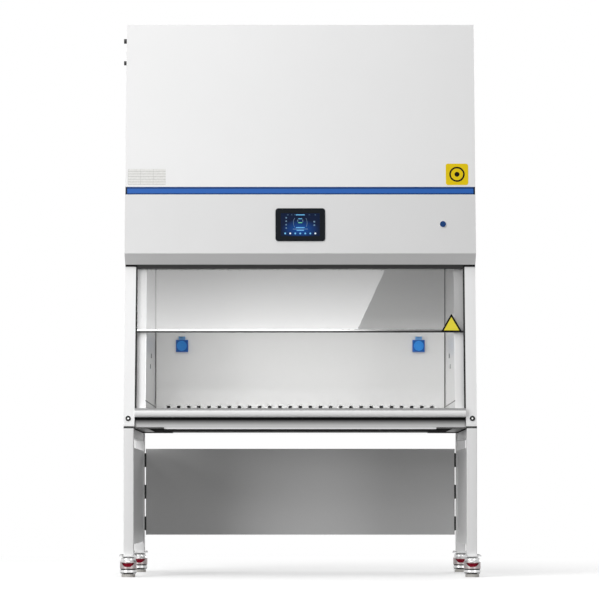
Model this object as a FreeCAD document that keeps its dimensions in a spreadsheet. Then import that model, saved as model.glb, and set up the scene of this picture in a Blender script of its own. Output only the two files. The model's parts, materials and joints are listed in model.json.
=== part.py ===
import FreeCAD, Part
import math
import os
import re
import Sketcher
from FreeCAD import Placement, Rotation, Vector

# Class II biosafety cabinet on a stand with levelling casters, in millimetres.
# +Z is up, the operator stands at -Y and +X is to the operator's right. The origin lies on the floor, under
# the middle of the whole outline. Heights are measured from the floor with the levelling pads on it.
# The sloping front is described in two ways: by a height and a distance behind the face, measured level, or
# in the slope frame, whose origin is on the face at the sill: x across, n behind the face, s up the slope.
# Cutting tools run 1 mm past the faces that they open, and fused bars reach 1 mm into what they join.

DOC = FreeCAD.newDocument("biosafety_cabinet")

SIZES = {
    # overall
    "overall_width": 1400,
    "overall_height": 2225,
    "cabinet_depth": 760,
    "face_tilt": 8,
    "skin": 1.5,
    "fit": 0.3,
    "running_fit": 0.05,
    # stand
    "leg_size": 40,
    "leg_wall": 2,
    "stand_height": 590,
    "stand_depth": 665,
    "rail_height": 33,
    "rail_width": 30,
    "plate_thickness": 4,
    "shoe_length": 160,
    "panel_skin": 1.2,
    "panel_inset": 6,
    "side_sheet_bottom": 129,
    "side_sheet_top": 515,
    "back_sheet_bottom": 159,
    "back_sheet_top": 523,
    "back_sheet_gap": 6,
    "back_sheet_setback": 4,
    "hook_height": 59,
    "hook_pitch": 134,
    "hook_first": 207,
    "hook_count": 3,
    # shells
    "sill_rise": 9,
    "post_width": 43,
    "rear_inset": 2.5,
    "rear_fold": 20,
    "cover_depth": 50,
    "cover_bottom": 1558,
    "strip_bottom": 1527,
    "strip_inset": 1,
    "chin_top": 1288,
    "chin_bottom": 1247,
    "chin_land": 8,
    "seal_height": 16,
    "seal_taper": 2,
    "seal_gap": 1,
    "end_gap": 1,
    "armrest_top": 670,
    "armrest_reach": 12,
    "armrest_depth": 56,
    "armrest_nose": 16,
    "apron_bottom": 584,
    "apron_setback": 10,
    "apron_fold": 20,
    # chamber
    "pan_top": 634,
    "pan_ledge": 14,
    "flange_width": 42,
    "chamber_depth": 620,
    "liner_top": 1320,
    "flange_setback": 20,
    "guide_width": 17,
    "guide_lip": 6,
    "guide_foot": 3.5,
    "guide_head": 30,
    "groove_gap": 2,
    "groove_play": 0.5,
    "tray_top": 660,
    "tray_skin": 2,
    "tray_rim": 22,
    "tray_dish": 4,
    "tray_gap": 2,
    "grille_top": 664,
    "grille_depth": 60,
    "grille_slot_width": 7,
    "grille_slot_length": 40,
    "grille_pitch": 22,
    "grille_margin": 30,
    "slot_width": 15,
    "slot_pitch": 42.9,
    "slot_margin": 50,
    "slot_bottom": 667,
    "slot_top": 705,
    "diffuser_z": 1300,
    "diffuser_front": 163,
    "diffuser_rows": 4,
    "diffuser_pitch": 60,
    "diffuser_slot": 16,
    "diffuser_slot_length": 84,
    "port_radius": 9.5,
    "port_head": 2.5,
    "high_port_depth": 366,
    "high_port_z": 900,
    "low_port_depth": 304,
    "low_port_z": 853,
    "lamp_bottom": 1256,
    "lamp_height": 28,
    "lamp_front": 126,
    "lamp_depth": 34,
    "tube_radius": 6.5,
    "tube_pitch": 15,
    # air system
    "filter_front": 182,
    "supply_filter_height": 90,
    "filter_rim": 25,
    "pleat_pitch": 32,
    "pleat_depth": 12,
    "exhaust_space": 120,
    "exhaust_width": 640,
    "exhaust_depth": 300,
    "exhaust_rim": 22,
    "guard_thickness": 4,
    "guard_border": 30,
    "guard_slot": 12,
    "guard_pitch": 20,
    "inlet_radius": 110,
    "bell_bend": 14,
    "bell_flange": 10,
    "bell_depth": 34,
    "inlet_gap": 3.5,
    "impeller_gap": 20,
    "impeller_radius": 165,
    "impeller_width": 78,
    "shroud_thickness": 2,
    "back_plate": 3,
    "hub_wall": 16,
    "hub_length": 26,
    "blade_count": 7,
    "blade_thickness": 2.5,
    "blade_lean": 34,
    "blade_camber": 0.12,
    "blower_shaft": 10,
    "shaft_reach": 64,
    "blower_gap": 6,
    "blower_radius": 68,
    "blower_length": 92,
    "blower_cap": 12,
    "stay_reach": 190,
    "stay_radius": 7,
    "spider_width": 30,
    "spider_thickness": 3,
    "spider_setback": 20,
    # controls
    "display_z": 1403.5,
    "bezel_width": 198,
    "bezel_height": 134,
    "bezel_corner": 12,
    "bezel_proud": 4,
    "screen_width": 156,
    "screen_height": 94,
    "screen_recess": 2,
    "screen_glass": 1.2,
    "display_body": 30,
    "display_margin": 7,
    "button_inset": 131,
    "button_z": 1406,
    "button_radius": 12,
    "button_travel": 3,
    "button_proud": 4.5,
    "button_skirt": 1.5,
    "button_barrel": 28,
    "collar_rim": 3,
    "collar_proud": 2,
    "control_box_width": 600,
    "control_box_gap": 16.2725,
    "control_box_drop": 95,
    "control_box_height": 160,
    "control_box_depth": 72,
    "vent_count": 7,
    "vent_first": 60,
    "vent_pitch": 20,
    "vent_width": 6,
    "vent_depth": 3,
    "vent_margin": 40,
    # sockets on the back wall
    "socket_inset": 115,
    "socket_z": 957,
    "socket_width": 51,
    "socket_height": 50,
    "socket_depth": 22,
    "socket_recess": 19,
    "recess_depth": 3,
    "contact_pitch": 14,
    "contact_width": 2,
    "contact_height": 8,
    "contact_depth": 14,
    "socket_lid": 5,
    "lid_margin": 2,
    "lid_dome": 20,
    "dome_rise": 4,
    "hinge_width": 27,
    "hinge_height": 14,
    "hinge_lift": 5,
    "hinge_barrel": 4,
    "hinge_pin": 1.5,
    "ear_width": 6.5,
    "web_gap": 4,
    # sash and its drive
    "glass_front": 4,
    "glass_thickness": 6,
    "glass_grip": 10,
    "glass_height": 640,
    "sash_rest_z": 977,
    "rail_wall": 1.6,
    "channel_height": 9,
    "channel_gap": 1,
    "lift_rail_height": 20,
    "lift_rail_gap": 8,
    "arm_width": 20,
    "arm_foot": 12,
    "arm_head": 28,
    "drive_n": 40,
    "idler_s": 715,
    "shaft_s": 1285,
    "shaft_radius": 6,
    "shaft_end": 1,
    "pulley_radius": 15,
    "pulley_width": 14,
    "pulley_inset": 15,
    "belt_width": 10,
    "belt_thickness": 1.5,
    "bearing_width": 16,
    "bearing_height": 22,
    "bearing_front": 13,
    "bearing_inset": 40,
    "bulkhead_n": 60,
    "bulkhead_foot": 12,
    "bulkhead_head": 50,
    "motor_case_radius": 18,
    "motor_case_rise": 26,
    "motor_case_length": 100,
    "motor_gap": 22,
    "gearbox_width": 34,
    "gearbox_drop": 18,
    "motor_foot": 32,
    "motor_foot_inset": 8,
    # casters
    "caster_height": 86,
    "caster_plate": 73,
    "caster_offset": 2.5,
    "caster_radius": 33.5,
    "lip_radius": 30.5,
    "lip_bottom": 14.5,
    "band_bottom": 19,
    "band_top": 28,
    "band_radius": 33,
    "groove_radius": 31,
    "drum_bottom": 33,
    "drum_shoulder": 61,
    "crown_radius": 29,
    "crown_bottom": 67,
    "drum_top": 75.7,
    "drum_round": 2,
    "pad_radius": 27.5,
    "pad_thickness": 12,
    "pad_step": 8,
    "pad_neck": 3,
    "pad_gap": 1.5,
    "pad_pocket": 8,
    "stem_radius": 7,
    "stem_top": 56,
    "dial_radius": 28,
    "dial_bottom": 41,
    "dial_height": 15,
    "dial_gap": 1.2,
    "scallop_count": 20,
    "scallop_radius": 2,
    "scallop_depth": 1.4,
    "window_half": 25.5,
    "window_foot": 39.5,
    "window_corner": 56.5,
    "window_brow": 58.5,
    "kingpin_radius": 6,
    "kingpin_head": 10,
    "kingpin_gap": 2,
    "kingpin_bottom": 64.3,
    "kingpin_bore_top": 67.3,
    "race_bottom": 20,
    "race_top": 30,
    "wheel_radius": 22,
    "wheel_width": 24,
    "wheel_trail": 54,
    "wheel_lift": 2,
    "wheel_gap": 1.5,
    "wheel_rim": 8,
    "wheel_dish": 3,
    "wheel_hub": 4,
    "wheel_round": 3,
    "hub_inset": 0.2,
    "axle_radius": 3,
    "fork_cheek": 4.7,
    "fork_bottom": 18,
    "fork_top": 59,
    "fork_brow": 36,
    "fork_reach": 6,
    # small fittings
    "post_screw_z": 629,
    "post_screw_inset": 18,
    "post_screw_radius": 10.5,
    "post_screw_head": 3,
    "post_screw_recess": 6,
    "post_screw_shank": 4,
    "post_screw_length": 12,
    "neck_step": 2,
    "neck_length": 8,
    "gland_setback": 29.351,
    "gland_reach": 17,
    "high_gland_drop": 52,
    "high_gland_radius": 9.5,
    "low_gland_drop": 141,
    "low_gland_radius": 8.5,
    "drain_inset": 257,
    "drain_depth": 60,
    "drain_radius": 15,
    "drain_neck": 10,
    "drain_height": 9,
}

PLACES = {
    "half_width": "overall_width / 2",
    "face_y": "(caster_radius - leg_size / 2 - cabinet_depth) / 2",
    "rear_y": "face_y + cabinet_depth",
    "roof_z": "overall_height - skin",
    "shell_z": "stand_height + plate_thickness",
    "sill_z": "shell_z + sill_rise",
    "post_x": "half_width - post_width",
    "chamber_half": "post_x - flange_width",
    "leg_x": "half_width - leg_size / 2",
    "shoe_x": "half_width - shoe_length",
    "front_leg_y": "face_y + leg_size / 2",
    "rear_leg_y": "face_y + stand_depth - leg_size / 2",
    "guide_x": "post_x - guide_lip",
    "guide_back": "flange_setback * cos(face_tilt)",
    "back_wall_y": "face_y + chamber_depth",
    "tray_y": "face_y + armrest_depth - armrest_reach + grille_depth",
    "cover_n": "-cover_depth * cos(face_tilt)",
    "cover_rise": "-cover_depth * sin(face_tilt)",
    "chin_miter": "skin * tan(atan((cover_depth - chin_land) / (chin_top - chin_bottom)) / 2)",
    "slot_count": "1 + floor((2 * chamber_half - 2 * slot_margin) / slot_pitch)",
    "sash_s": "(sash_rest_z - sill_z) / cos(face_tilt)",
    "sash_top_s": "sash_s + glass_height",
    "glass_back": "glass_front + glass_thickness",
    "glass_x": "guide_x + glass_grip",
    "pulley_x": "chamber_half - pulley_inset",
    "bearing_x": "pulley_x - bearing_inset",
    "motor_end": "bearing_x - bearing_width / 2 - motor_gap",
    "motor_s": "shaft_s + motor_case_rise",
    "display_s": "(display_z - sill_z) / cos(face_tilt) + cover_rise",
    "button_x": "half_width - button_inset",
    "button_s": "(button_z - sill_z) / cos(face_tilt) + cover_rise",
    "plenum_z": "liner_top + supply_filter_height",
    "plenum_top": "overall_height - exhaust_space",
    "plenum_back": "face_y + chamber_depth - rear_fold",
    "blower_z": "(plenum_z + plenum_top) / 2",
    "control_box_z": "plenum_top - control_box_drop",
    "control_box_top": "control_box_z + control_box_height",
    "cover_back": "(control_box_top - sill_z) * tan(face_tilt) + skin - cover_depth",
    "control_box_front": "face_y + cover_back + control_box_gap",
    "plenum_face": "control_box_front + control_box_depth",
    "exhaust_y": "(plenum_face + plenum_back) / 2",
    "socket_x": "chamber_half - socket_inset",
    "hinge_z": "socket_z + socket_height / 2 + hinge_lift",
    "hinge_y": "back_wall_y - socket_depth - socket_lid / 2 - fit",
    "caster_x": "leg_x + caster_offset",
    "pocket_radius": "dial_radius + dial_gap",
    "fork_x": "wheel_width / 2 + fit + fork_cheek",
    "wheel_z": "wheel_radius + wheel_lift",
    "window_rise": "window_corner - window_foot",
    "window_fall": "window_brow - window_corner",
    "lower_bow": "(window_rise ^ 2 + window_half ^ 2) / (2 * window_rise)",
    "upper_bow": "(window_fall ^ 2 + window_half ^ 2) / (2 * window_fall)",
    "post_screw_x": "half_width - post_screw_inset",
    "post_screw_s": "(post_screw_z - sill_z) / cos(face_tilt)",
    "high_gland_z": "overall_height - high_gland_drop",
    "low_gland_z": "overall_height - low_gland_drop",
    "gland_y": "face_y + (high_gland_z - sill_z) * tan(face_tilt) + gland_setback",
    "drain_x": "chamber_half - drain_inset",
    "drain_y": "face_y + drain_depth",
}

NAMES = re.compile(r"[a-z_]+")


def formula(text, own_sheet=None):
    """Write the sheet's name before each size in a formula, as an expression needs it."""

    def with_sheet(match):
        word = match.group()
        if word in SIZES:
            return "sizes." + word
        if word in PLACES and own_sheet != "places":
            return "places." + word
        return word

    return NAMES.sub(with_sheet, text)


def make_sheet(name, rows):
    sheet = DOC.addObject("Spreadsheet::Sheet", name)
    for row, (alias, content) in enumerate(rows.items(), start=1):
        sheet.set(f"A{row}", alias)
        sheet.set(f"B{row}", str(content))
        sheet.setAlias(f"B{row}", alias)
    return sheet


sizes = make_sheet("sizes", SIZES)
places = make_sheet("places", {alias: "=" + formula(text, "places") for alias, text in PLACES.items()})
DOC.recompute()


def size(alias):
    """The present value of a size or a place, for shapes that Part's functions make."""
    return float(getattr(sizes if alias in SIZES else places, alias))


def bind(thing, **links):
    for name, text in links.items():
        thing.setExpression(name.replace("__", "."), formula(str(text)))


# ---- formulas for places ---------------------------------------------------------------------------------


def behind(height, distance):
    """y at a height, a level distance behind the sloping face."""
    return f"face_y + (({height}) - sill_z) * tan(face_tilt) + ({distance})"


def centred(middle, width):
    """The two ends of a stretch about its middle."""
    return f"({middle}) - ({width}) / 2", f"({middle}) + ({width}) / 2"


def across(half):
    """The two ends of a stretch that crosses the middle plane evenly."""
    return f"-({half})", half


def inset(ends, margin):
    """Both ends of a stretch moved inwards by a margin, or outwards by a negative one."""
    low, high = ends
    return f"({low}) + ({margin})", f"({high}) - ({margin})"


def rectangle(u, v):
    (low_u, high_u), (low_v, high_v) = u, v
    return [(low_u, low_v), (high_u, low_v), (high_u, high_v), (low_u, high_v)]


# ---- building blocks -------------------------------------------------------------------------------------


def block(x, y, z):
    """A box between two formulas along each axis."""
    box = DOC.addObject("Part::Box", "Block")
    for side, axis, (low, high) in (("Length", "x", x), ("Width", "y", y), ("Height", "z", z)):
        bind(box, **{side: f"({high}) - ({low})", f"Placement__Base__{axis}": low})
    return box


TURNS = {
    "x": Rotation(Vector(0, 1, 0), 90),
    "y": Rotation(Vector(1, 0, 0), -90),
    "z": Rotation(),
}


def rod(radius, along, ends, *centre):
    """A round bar along x, y or z between two formulas; centre gives its other two coordinates in order."""
    bar = DOC.addObject("Part::Cylinder", "Rod")
    bar.Placement = Placement(Vector(), TURNS[along])
    low, high = ends
    others = iter(centre)
    bind(bar, Radius=radius, Height=f"({high}) - ({low})")
    for axis in "xyz":
        bind(bar, **{f"Placement__Base__{axis}": low if axis == along else next(others)})
    return bar


def join(*parts):
    whole = DOC.addObject("Part::MultiFuse", "Joined")
    whole.Shapes = list(parts)
    return whole


def cut(base, *tools):
    result = DOC.addObject("Part::Cut", "Cut")
    result.Base = base
    result.Tool = tools[0] if len(tools) == 1 else join(*tools)
    return result


def common(*parts):
    whole = DOC.addObject("Part::MultiCommon", "Shared")
    whole.Shapes = list(parts)
    return whole


def group(*parts):
    together = DOC.addObject("Part::Compound", "Group")
    together.Links = list(parts)
    return together


def mirrored(part):
    """The same piece on the other side of the middle plane."""
    twin = DOC.addObject("Part::Mirroring", "Mirrored")
    twin.Source = part
    twin.Normal = Vector(1, 0, 0)
    return twin


def both_sides(part):
    return group(part, mirrored(part))


def on_slope(part):
    """Take a piece out of the slope frame to its place on the sloping front."""
    placed = group(part)
    placed.Placement = Placement(Vector(), Rotation(Vector(-1, 0, 0), size("face_tilt")))
    bind(placed, Placement__Base__y="face_y", Placement__Base__z="sill_z")
    bind(placed, Placement__Rotation__Angle="face_tilt")
    return placed


def solid(shape, label):
    """A piece whose shape comes from Part's own functions."""
    piece = DOC.addObject("Part::Feature", label)
    piece.Shape = shape
    return piece


PLANES = {"x": "YZ_Plane", "y": "XZ_Plane", "z": "XY_Plane"}


def attached_sketch(body, along, start):
    sketch = body.newObject("Sketcher::SketchObject", "Sketch")
    plane = next(item for item in body.Origin.OriginFeatures if item.Role == PLANES[along])
    sketch.AttachmentSupport = [(plane, "")]
    sketch.MapMode = "FlatFace"
    offset = f"-({start})" if along == "y" else start
    bind(sketch, AttachmentOffset__Base__z=offset)
    return sketch


def draw_outline(sketch, outline):
    """Closed outline of straight lines: a small polygon, whose corners are then held by two formulas each."""
    count = len(outline)
    corners = [Vector(math.cos(turn), math.sin(turn), 0)
               for turn in (math.tau * step / count for step in range(count))]
    first = sketch.GeometryCount
    for here in range(count):
        sketch.addGeometry(Part.LineSegment(corners[here], corners[(here + 1) % count]), False)
    for here in range(count):
        following = first + (here + 1) % count
        sketch.addConstraint(Sketcher.Constraint("Coincident", first + here, 2, following, 1))
    for here, point in enumerate(outline):
        for kind, text in zip(("DistanceX", "DistanceY"), point):
            held = sketch.addConstraint(Sketcher.Constraint(kind, -1, 1, first + here, 1, 1.0))
            sketch.setExpression(f"Constraints[{held}]", formula(text))


def prism(along, outline, ends):
    """A PartDesign body: an outline padded along one axis between two formulas."""
    low, high = ends
    body = DOC.addObject("PartDesign::Body", "Prism")
    # The xz plane looks along -y, so a pad on it starts at its far face.
    sketch = attached_sketch(body, along, high if along == "y" else low)
    draw_outline(sketch, outline)
    pad = body.newObject("PartDesign::Pad", "Pad")
    pad.Profile = sketch
    bind(pad, Length=f"({high}) - ({low})")
    return body


def hollow(body, along, outline, ends):
    """Pocket an outline out of a body, from one formula along the axis to the other."""
    low, high = ends
    sketch = attached_sketch(body, along, high if along == "y" else low)
    draw_outline(sketch, outline)
    pocket = body.newObject("PartDesign::Pocket", "Pocket")
    pocket.Profile = sketch
    pocket.Reversed = True
    bind(pocket, Length=f"({high}) - ({low})")
    return pocket


def turned(outline, about):
    """A PartDesign body turned about z, from (radius, z) corners, or about x, from (x, radius) corners."""
    body = DOC.addObject("PartDesign::Body", "Turned")
    sketch = attached_sketch(body, "y" if about == "z" else "z", "0")
    draw_outline(sketch, outline)
    turn = body.newObject("PartDesign::Revolution", "Revolution")
    turn.Profile = sketch
    turn.ReferenceAxis = (sketch, ["V_Axis" if about == "z" else "H_Axis"])
    turn.Angle = 360
    return body


def row_of(body, pocket, occurrences, length):
    """Repeat a pocket along its sketch's horizontal axis."""
    pattern = body.newObject("PartDesign::LinearPattern", "Row")
    pattern.Originals = [pocket]
    pattern.Direction = (pocket.Profile[0], ["H_Axis"])
    bind(pattern, Length=length, Occurrences=occurrences)
    body.Tip = pattern


def fillet(body, radius, chosen):
    """Round the edges of a body that a test picks out."""
    DOC.recompute()
    base = body.Tip
    names = [f"Edge{number}" for number, edge in enumerate(base.Shape.Edges, start=1) if chosen(edge)]
    rounding = body.newObject("PartDesign::Fillet", "Fillet")
    rounding.Base = (base, names)
    bind(rounding, Radius=radius)


NEAR = 1e-3


def circle_at(along, place):
    """Test for a whole circle about an axis, at a place along it."""
    index = "xyz".index(along)
    return lambda edge: (isinstance(edge.Curve, Part.Circle)
                         and all(abs(vertex.Point[index] - place) < NEAR for vertex in edge.Vertexes))


NODES = {}


def node(name, piece):
    """Name a finished sub-part; the name is also its file's name."""
    piece.Label = name
    NODES[name] = piece


# ---- casing ----------------------------------------------------------------------------------------------


def make_side_panels():
    """Folded side casings: a skin whose front fold is the post beside the sash."""
    right = prism("x", [
        ("face_y", "shell_z"),
        ("face_y", "sill_z"),
        (behind("roof_z", 0), "roof_z"),
        ("rear_y", "roof_z"),
        ("rear_y", "shell_z"),
    ], ("post_x", "half_width"))
    hollow(right, "x", [
        ("face_y + skin", "shell_z + skin"),
        ("face_y + skin", "sill_z"),
        (behind("roof_z - skin", "skin"), "roof_z - skin"),
        ("rear_y - skin", "roof_z - skin"),
        ("rear_y - skin", "shell_z + skin"),
    ], ("post_x", "half_width - skin"))
    fold = block(("chamber_half + skin + fit", "post_x + 1"),
                 ("face_y + armrest_depth", "rear_y - rear_inset - rear_fold - fit"),
                 ("shell_z", "shell_z + skin"))
    screw_hole = rod("post_screw_shank + fit", "y", ("-1", "skin + 1"), "post_screw_x", "post_screw_s")
    casing = cut(join(right, fold), on_slope(screw_hole))
    glands = [
        rod(f"{name}_radius - neck_step + fit", "x", ("-half_width - 1", "-half_width + skin + 1"),
            "gland_y", f"{name}_z")
        for name in ("high_gland", "low_gland")
    ]
    node("side_panel_left", cut(mirrored(casing), *glands))
    node("side_panel_right", casing)


def make_rear_and_top():
    face = "rear_y - rear_inset"
    x, z = across("post_x - fit"), ("shell_z", "roof_z")
    panel = cut(
        block(x, (f"{face} - rear_fold", face), z),
        block(inset(x, "skin"), (f"{face} - rear_fold - 1", f"{face} - skin"), inset(z, "skin")),
    )
    # Its lower fold runs forward to the chamber and closes the return duct.
    duct_floor = block(across("chamber_half + skin"), ("back_wall_y + skin + fit", f"{face} - skin"),
                       ("shell_z", "shell_z + skin"))
    node("rear_panel", join(panel, duct_floor))
    roof = cut(
        block(across("half_width"), (behind("overall_height", 0), "rear_y"), ("roof_z", "overall_height")),
        block(across("exhaust_width / 2"), centred("exhaust_y", "exhaust_depth"),
              ("roof_z - 1", "overall_height + 1")),
    )
    node("top_panel", roof)


def make_front_covers():
    """The upper cover, the blue strip and the control panel stand one cover depth proud of the posts."""
    cover = prism("x", [
        (behind("cover_bottom", "-cover_depth"), "cover_bottom"),
        (behind("overall_height", "-cover_depth"), "overall_height"),
        (behind("overall_height", 0), "overall_height"),
        (behind("cover_bottom", 0), "cover_bottom"),
    ], across("half_width"))
    hollow(cover, "x", [
        (behind("cover_bottom + skin", "skin - cover_depth"), "cover_bottom + skin"),
        (behind("overall_height - skin", "skin - cover_depth"), "overall_height - skin"),
        (behind("overall_height - skin", 1), "overall_height - skin"),
        (behind("cover_bottom + skin", 1), "cover_bottom + skin"),
    ], across("half_width - skin"))
    node("front_cover", cover)

    strip_face = "strip_inset - cover_depth"
    strip = prism("x", [
        (behind("strip_bottom", strip_face), "strip_bottom"),
        (behind("cover_bottom", strip_face), "cover_bottom"),
        (behind("cover_bottom", 0), "cover_bottom"),
        (behind("strip_bottom", 0), "strip_bottom"),
    ], across("half_width - strip_inset"))
    hollow(strip, "x", [
        (behind("strip_bottom - 1", f"{strip_face} + skin"), "strip_bottom - 1"),
        (behind("cover_bottom + 1", f"{strip_face} + skin"), "cover_bottom + 1"),
        (behind("cover_bottom + 1", 1), "cover_bottom + 1"),
        (behind("strip_bottom - 1", 1), "strip_bottom - 1"),
    ], across("half_width - strip_inset - skin"))
    node("trim_strip", strip)

    console = prism("x", [
        (behind("chin_bottom", "-chin_land"), "chin_bottom"),
        (behind("chin_top", "-cover_depth"), "chin_top"),
        (behind("strip_bottom", "-cover_depth"), "strip_bottom"),
        (behind("strip_bottom", 0), "strip_bottom"),
        (behind("chin_bottom", 0), "chin_bottom"),
    ], across("half_width"))
    hollow(console, "x", [
        (behind("chin_bottom + skin", "chin_miter - chin_land"), "chin_bottom + skin"),
        (behind("chin_top + chin_miter", "skin - cover_depth"), "chin_top + chin_miter"),
        (behind("strip_bottom - skin", "skin - cover_depth"), "strip_bottom - skin"),
        (behind("strip_bottom - skin", 1), "strip_bottom - skin"),
        (behind("chin_bottom + skin", 1), "chin_bottom + skin"),
    ], across("half_width - skin"))
    wall = ("cover_n - 1", "cover_n + skin + 1")
    display_hole = block(across("bezel_width / 2 - display_margin + fit"), wall,
                         centred("display_s", "bezel_height - 2 * display_margin + 2 * fit"))
    button_hole = rod("button_radius + collar_rim / 2 + fit", "y", wall, "button_x", "button_s")
    node("control_panel", cut(console, on_slope(display_hole), on_slope(button_hole)))

    seal_bottom = "chin_bottom - seal_height"
    seal = prism("x", [
        (behind(seal_bottom, "seal_taper - chin_land"), seal_bottom),
        (behind("chin_bottom", "-chin_land"), "chin_bottom"),
        (behind("chin_bottom", "glass_front - seal_gap"), "chin_bottom"),
        (behind(seal_bottom, "glass_front - seal_gap"), seal_bottom),
    ], across("guide_x"))
    node("sash_seal", seal)


def make_sill():
    """Rounded arm rest over the front intake, and the folded apron recessed below it."""
    x = across("post_x - end_gap")
    front = "face_y - armrest_reach"
    rest = prism("x", rectangle((front, f"{front} + armrest_depth"), ("pan_top", "armrest_top")), x)
    DOC.recompute()
    nose = size("face_y") - size("armrest_reach")
    fillet(rest, "armrest_nose", lambda edge: edge.BoundBox.XLength > size("post_x")
           and abs(edge.Vertexes[0].Point.y - nose) < NEAR)
    node("armrest", rest)

    y = ("face_y + apron_setback", "face_y + apron_setback + apron_fold")
    # Notched at both ends, over the shoes of the stand.
    notches = [
        block(ends, inset(y, "-1"), ("apron_bottom - 1", "shell_z + fit"))
        for ends in (("-half_width", "-shoe_x + fit"), ("shoe_x - fit", "half_width"))
    ]
    apron = cut(
        block(x, y, ("apron_bottom", "pan_top")),
        block(inset(x, "-1"), (f"{y[0]} + skin", f"{y[1]} + 1"), ("apron_bottom + skin", "pan_top - skin")),
        *notches,
    )
    node("lower_front_panel", apron)


# ---- work chamber ----------------------------------------------------------------------------------------


def make_chamber_floor():
    """Drain pan, the dished work tray and the slotted intake grille that both rest on the pan's ledges."""
    pan_x = across("chamber_half - fit")
    pan_y = ("face_y + apron_setback + apron_fold + fit", "back_wall_y - fit")
    pan = cut(
        block(pan_x, pan_y, ("shell_z", "pan_top")),
        block(inset(pan_x, "skin"), inset(pan_y, "skin"), ("shell_z + skin", "pan_top - skin")),
        block(inset(pan_x, "pan_ledge"), inset(pan_y, "pan_ledge"), ("pan_top - skin - 1", "pan_top + 1")),
        rod("drain_neck", "z", ("shell_z - 1", "shell_z + skin + 1"), "drain_x", "drain_y"),
    )
    node("base_pan", pan)

    tray_x = across("chamber_half - tray_gap")
    tray_y = ("tray_y", "back_wall_y - tray_gap")
    tray = cut(
        block(tray_x, tray_y, ("pan_top", "tray_top")),
        block(inset(tray_x, "tray_skin"), inset(tray_y, "tray_skin"),
              ("pan_top - 1", "tray_top - tray_dish - tray_skin")),
        block(inset(tray_x, "tray_rim"), inset(tray_y, "tray_rim"), ("tray_top - tray_dish", "tray_top + 1")),
    )
    node("work_tray", tray)

    front, back = "face_y - armrest_reach + armrest_depth + fit", "tray_y - fit"
    grille = prism("x", rectangle((front, back), ("pan_top", "grille_top")), tray_x)
    inside = rectangle(inset((front, back), "tray_skin"), ("pan_top - 1", "grille_top - tray_skin"))
    hollow(grille, "x", inside, inset(tray_x, "-1"))
    span = "2 * (chamber_half - grille_margin)"
    slot = hollow(grille, "z", rectangle(centred(f"-({span}) / 2", "grille_slot_width"),
                                         centred(f"({front} + {back}) / 2", "grille_slot_length")),
                  ("grille_top - tray_skin - 1", "grille_top + 1"))
    row_of(grille, slot, f"1 + floor({span} / grille_pitch)", span)
    node("intake_grille", grille)


def make_chamber_walls():
    wall = ("back_wall_y", "back_wall_y + skin")
    back = prism("y", rectangle(across("chamber_half - fit"), ("pan_top", "liner_top")), wall)
    span = "(slot_count - 1) * slot_pitch"
    slot = hollow(back, "y", rectangle(centred(f"-({span}) / 2", "slot_width"), ("slot_bottom", "slot_top")),
                  inset(wall, "-1"))
    row_of(back, slot, "slot_count", span)
    node("chamber_back", back)

    # A side wall turns outwards at the front into the flange that carries the sash guide.
    side = prism("x", [
        (behind("armrest_top", "flange_setback"), "armrest_top"),
        (behind("liner_top", "flange_setback"), "liner_top"),
        ("back_wall_y + skin", "liner_top"),
        ("back_wall_y + skin", "shell_z + skin"),
        ("face_y + armrest_depth", "shell_z + skin"),
        ("face_y + armrest_depth", "armrest_top"),
    ], ("chamber_half", "guide_x"))
    hollow(side, "x", [
        (behind("armrest_top - 1", "flange_setback + skin"), "armrest_top - 1"),
        (behind("liner_top + 1", "flange_setback + skin"), "liner_top + 1"),
        ("back_wall_y + skin + 1", "liner_top + 1"),
        ("back_wall_y + skin + 1", "shell_z"),
        ("face_y", "shell_z"),
        ("face_y", "armrest_top - 1"),
    ], ("chamber_half + skin", "guide_x"))
    ports = [
        rod("port_radius - neck_step", "x", ("chamber_half - 1", "chamber_half + skin + 1"),
            f"face_y + {name}_depth", f"{name}_z")
        for name in ("high_port", "low_port")
    ]
    node("chamber_sides", both_sides(cut(side, *ports)))


def make_diffuser():
    """Slotted ceiling sheet below the supply filter."""
    front, back = "face_y + diffuser_front", "back_wall_y - fit"
    sheet = prism("z", rectangle(across("chamber_half - fit"), (front, back)),
                  ("diffuser_z", "diffuser_z + skin"))
    span = "2 * (chamber_half - diffuser_pitch)"
    for row in range(int(size("diffuser_rows"))):
        row_y = f"{front} + ({back} - ({front})) * {row + 0.5} / diffuser_rows"
        slot = hollow(sheet, "z", rectangle(centred(f"-({span}) / 2", "diffuser_slot"),
                                            centred(row_y, "diffuser_slot_length")),
                      ("diffuser_z - 1", "diffuser_z + skin + 1"))
        row_of(sheet, slot, f"1 + floor({span} / diffuser_pitch)", span)
    node("diffuser", sheet)


def make_lamp():
    """A trough across the front of the ceiling with a white lamp and an ultraviolet lamp side by side."""
    x = across("chamber_half - fit")
    y = ("face_y + lamp_front", "face_y + lamp_front + lamp_depth")
    trough = cut(
        block(x, y, ("lamp_bottom", "lamp_bottom + lamp_height")),
        block(inset(x, "skin"), inset(y, "skin"), ("lamp_bottom - 1", "lamp_bottom + lamp_height - skin")),
    )
    tubes = [
        rod("tube_radius", "x", inset(x, "skin"),
            f"face_y + lamp_front + lamp_depth / 2 {side} tube_pitch / 2", "lamp_bottom + lamp_height / 2")
        for side in "-+"
    ]
    node("lamp_fitting", group(trough, *tubes))


# ---- air system ------------------------------------------------------------------------------------------


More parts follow.
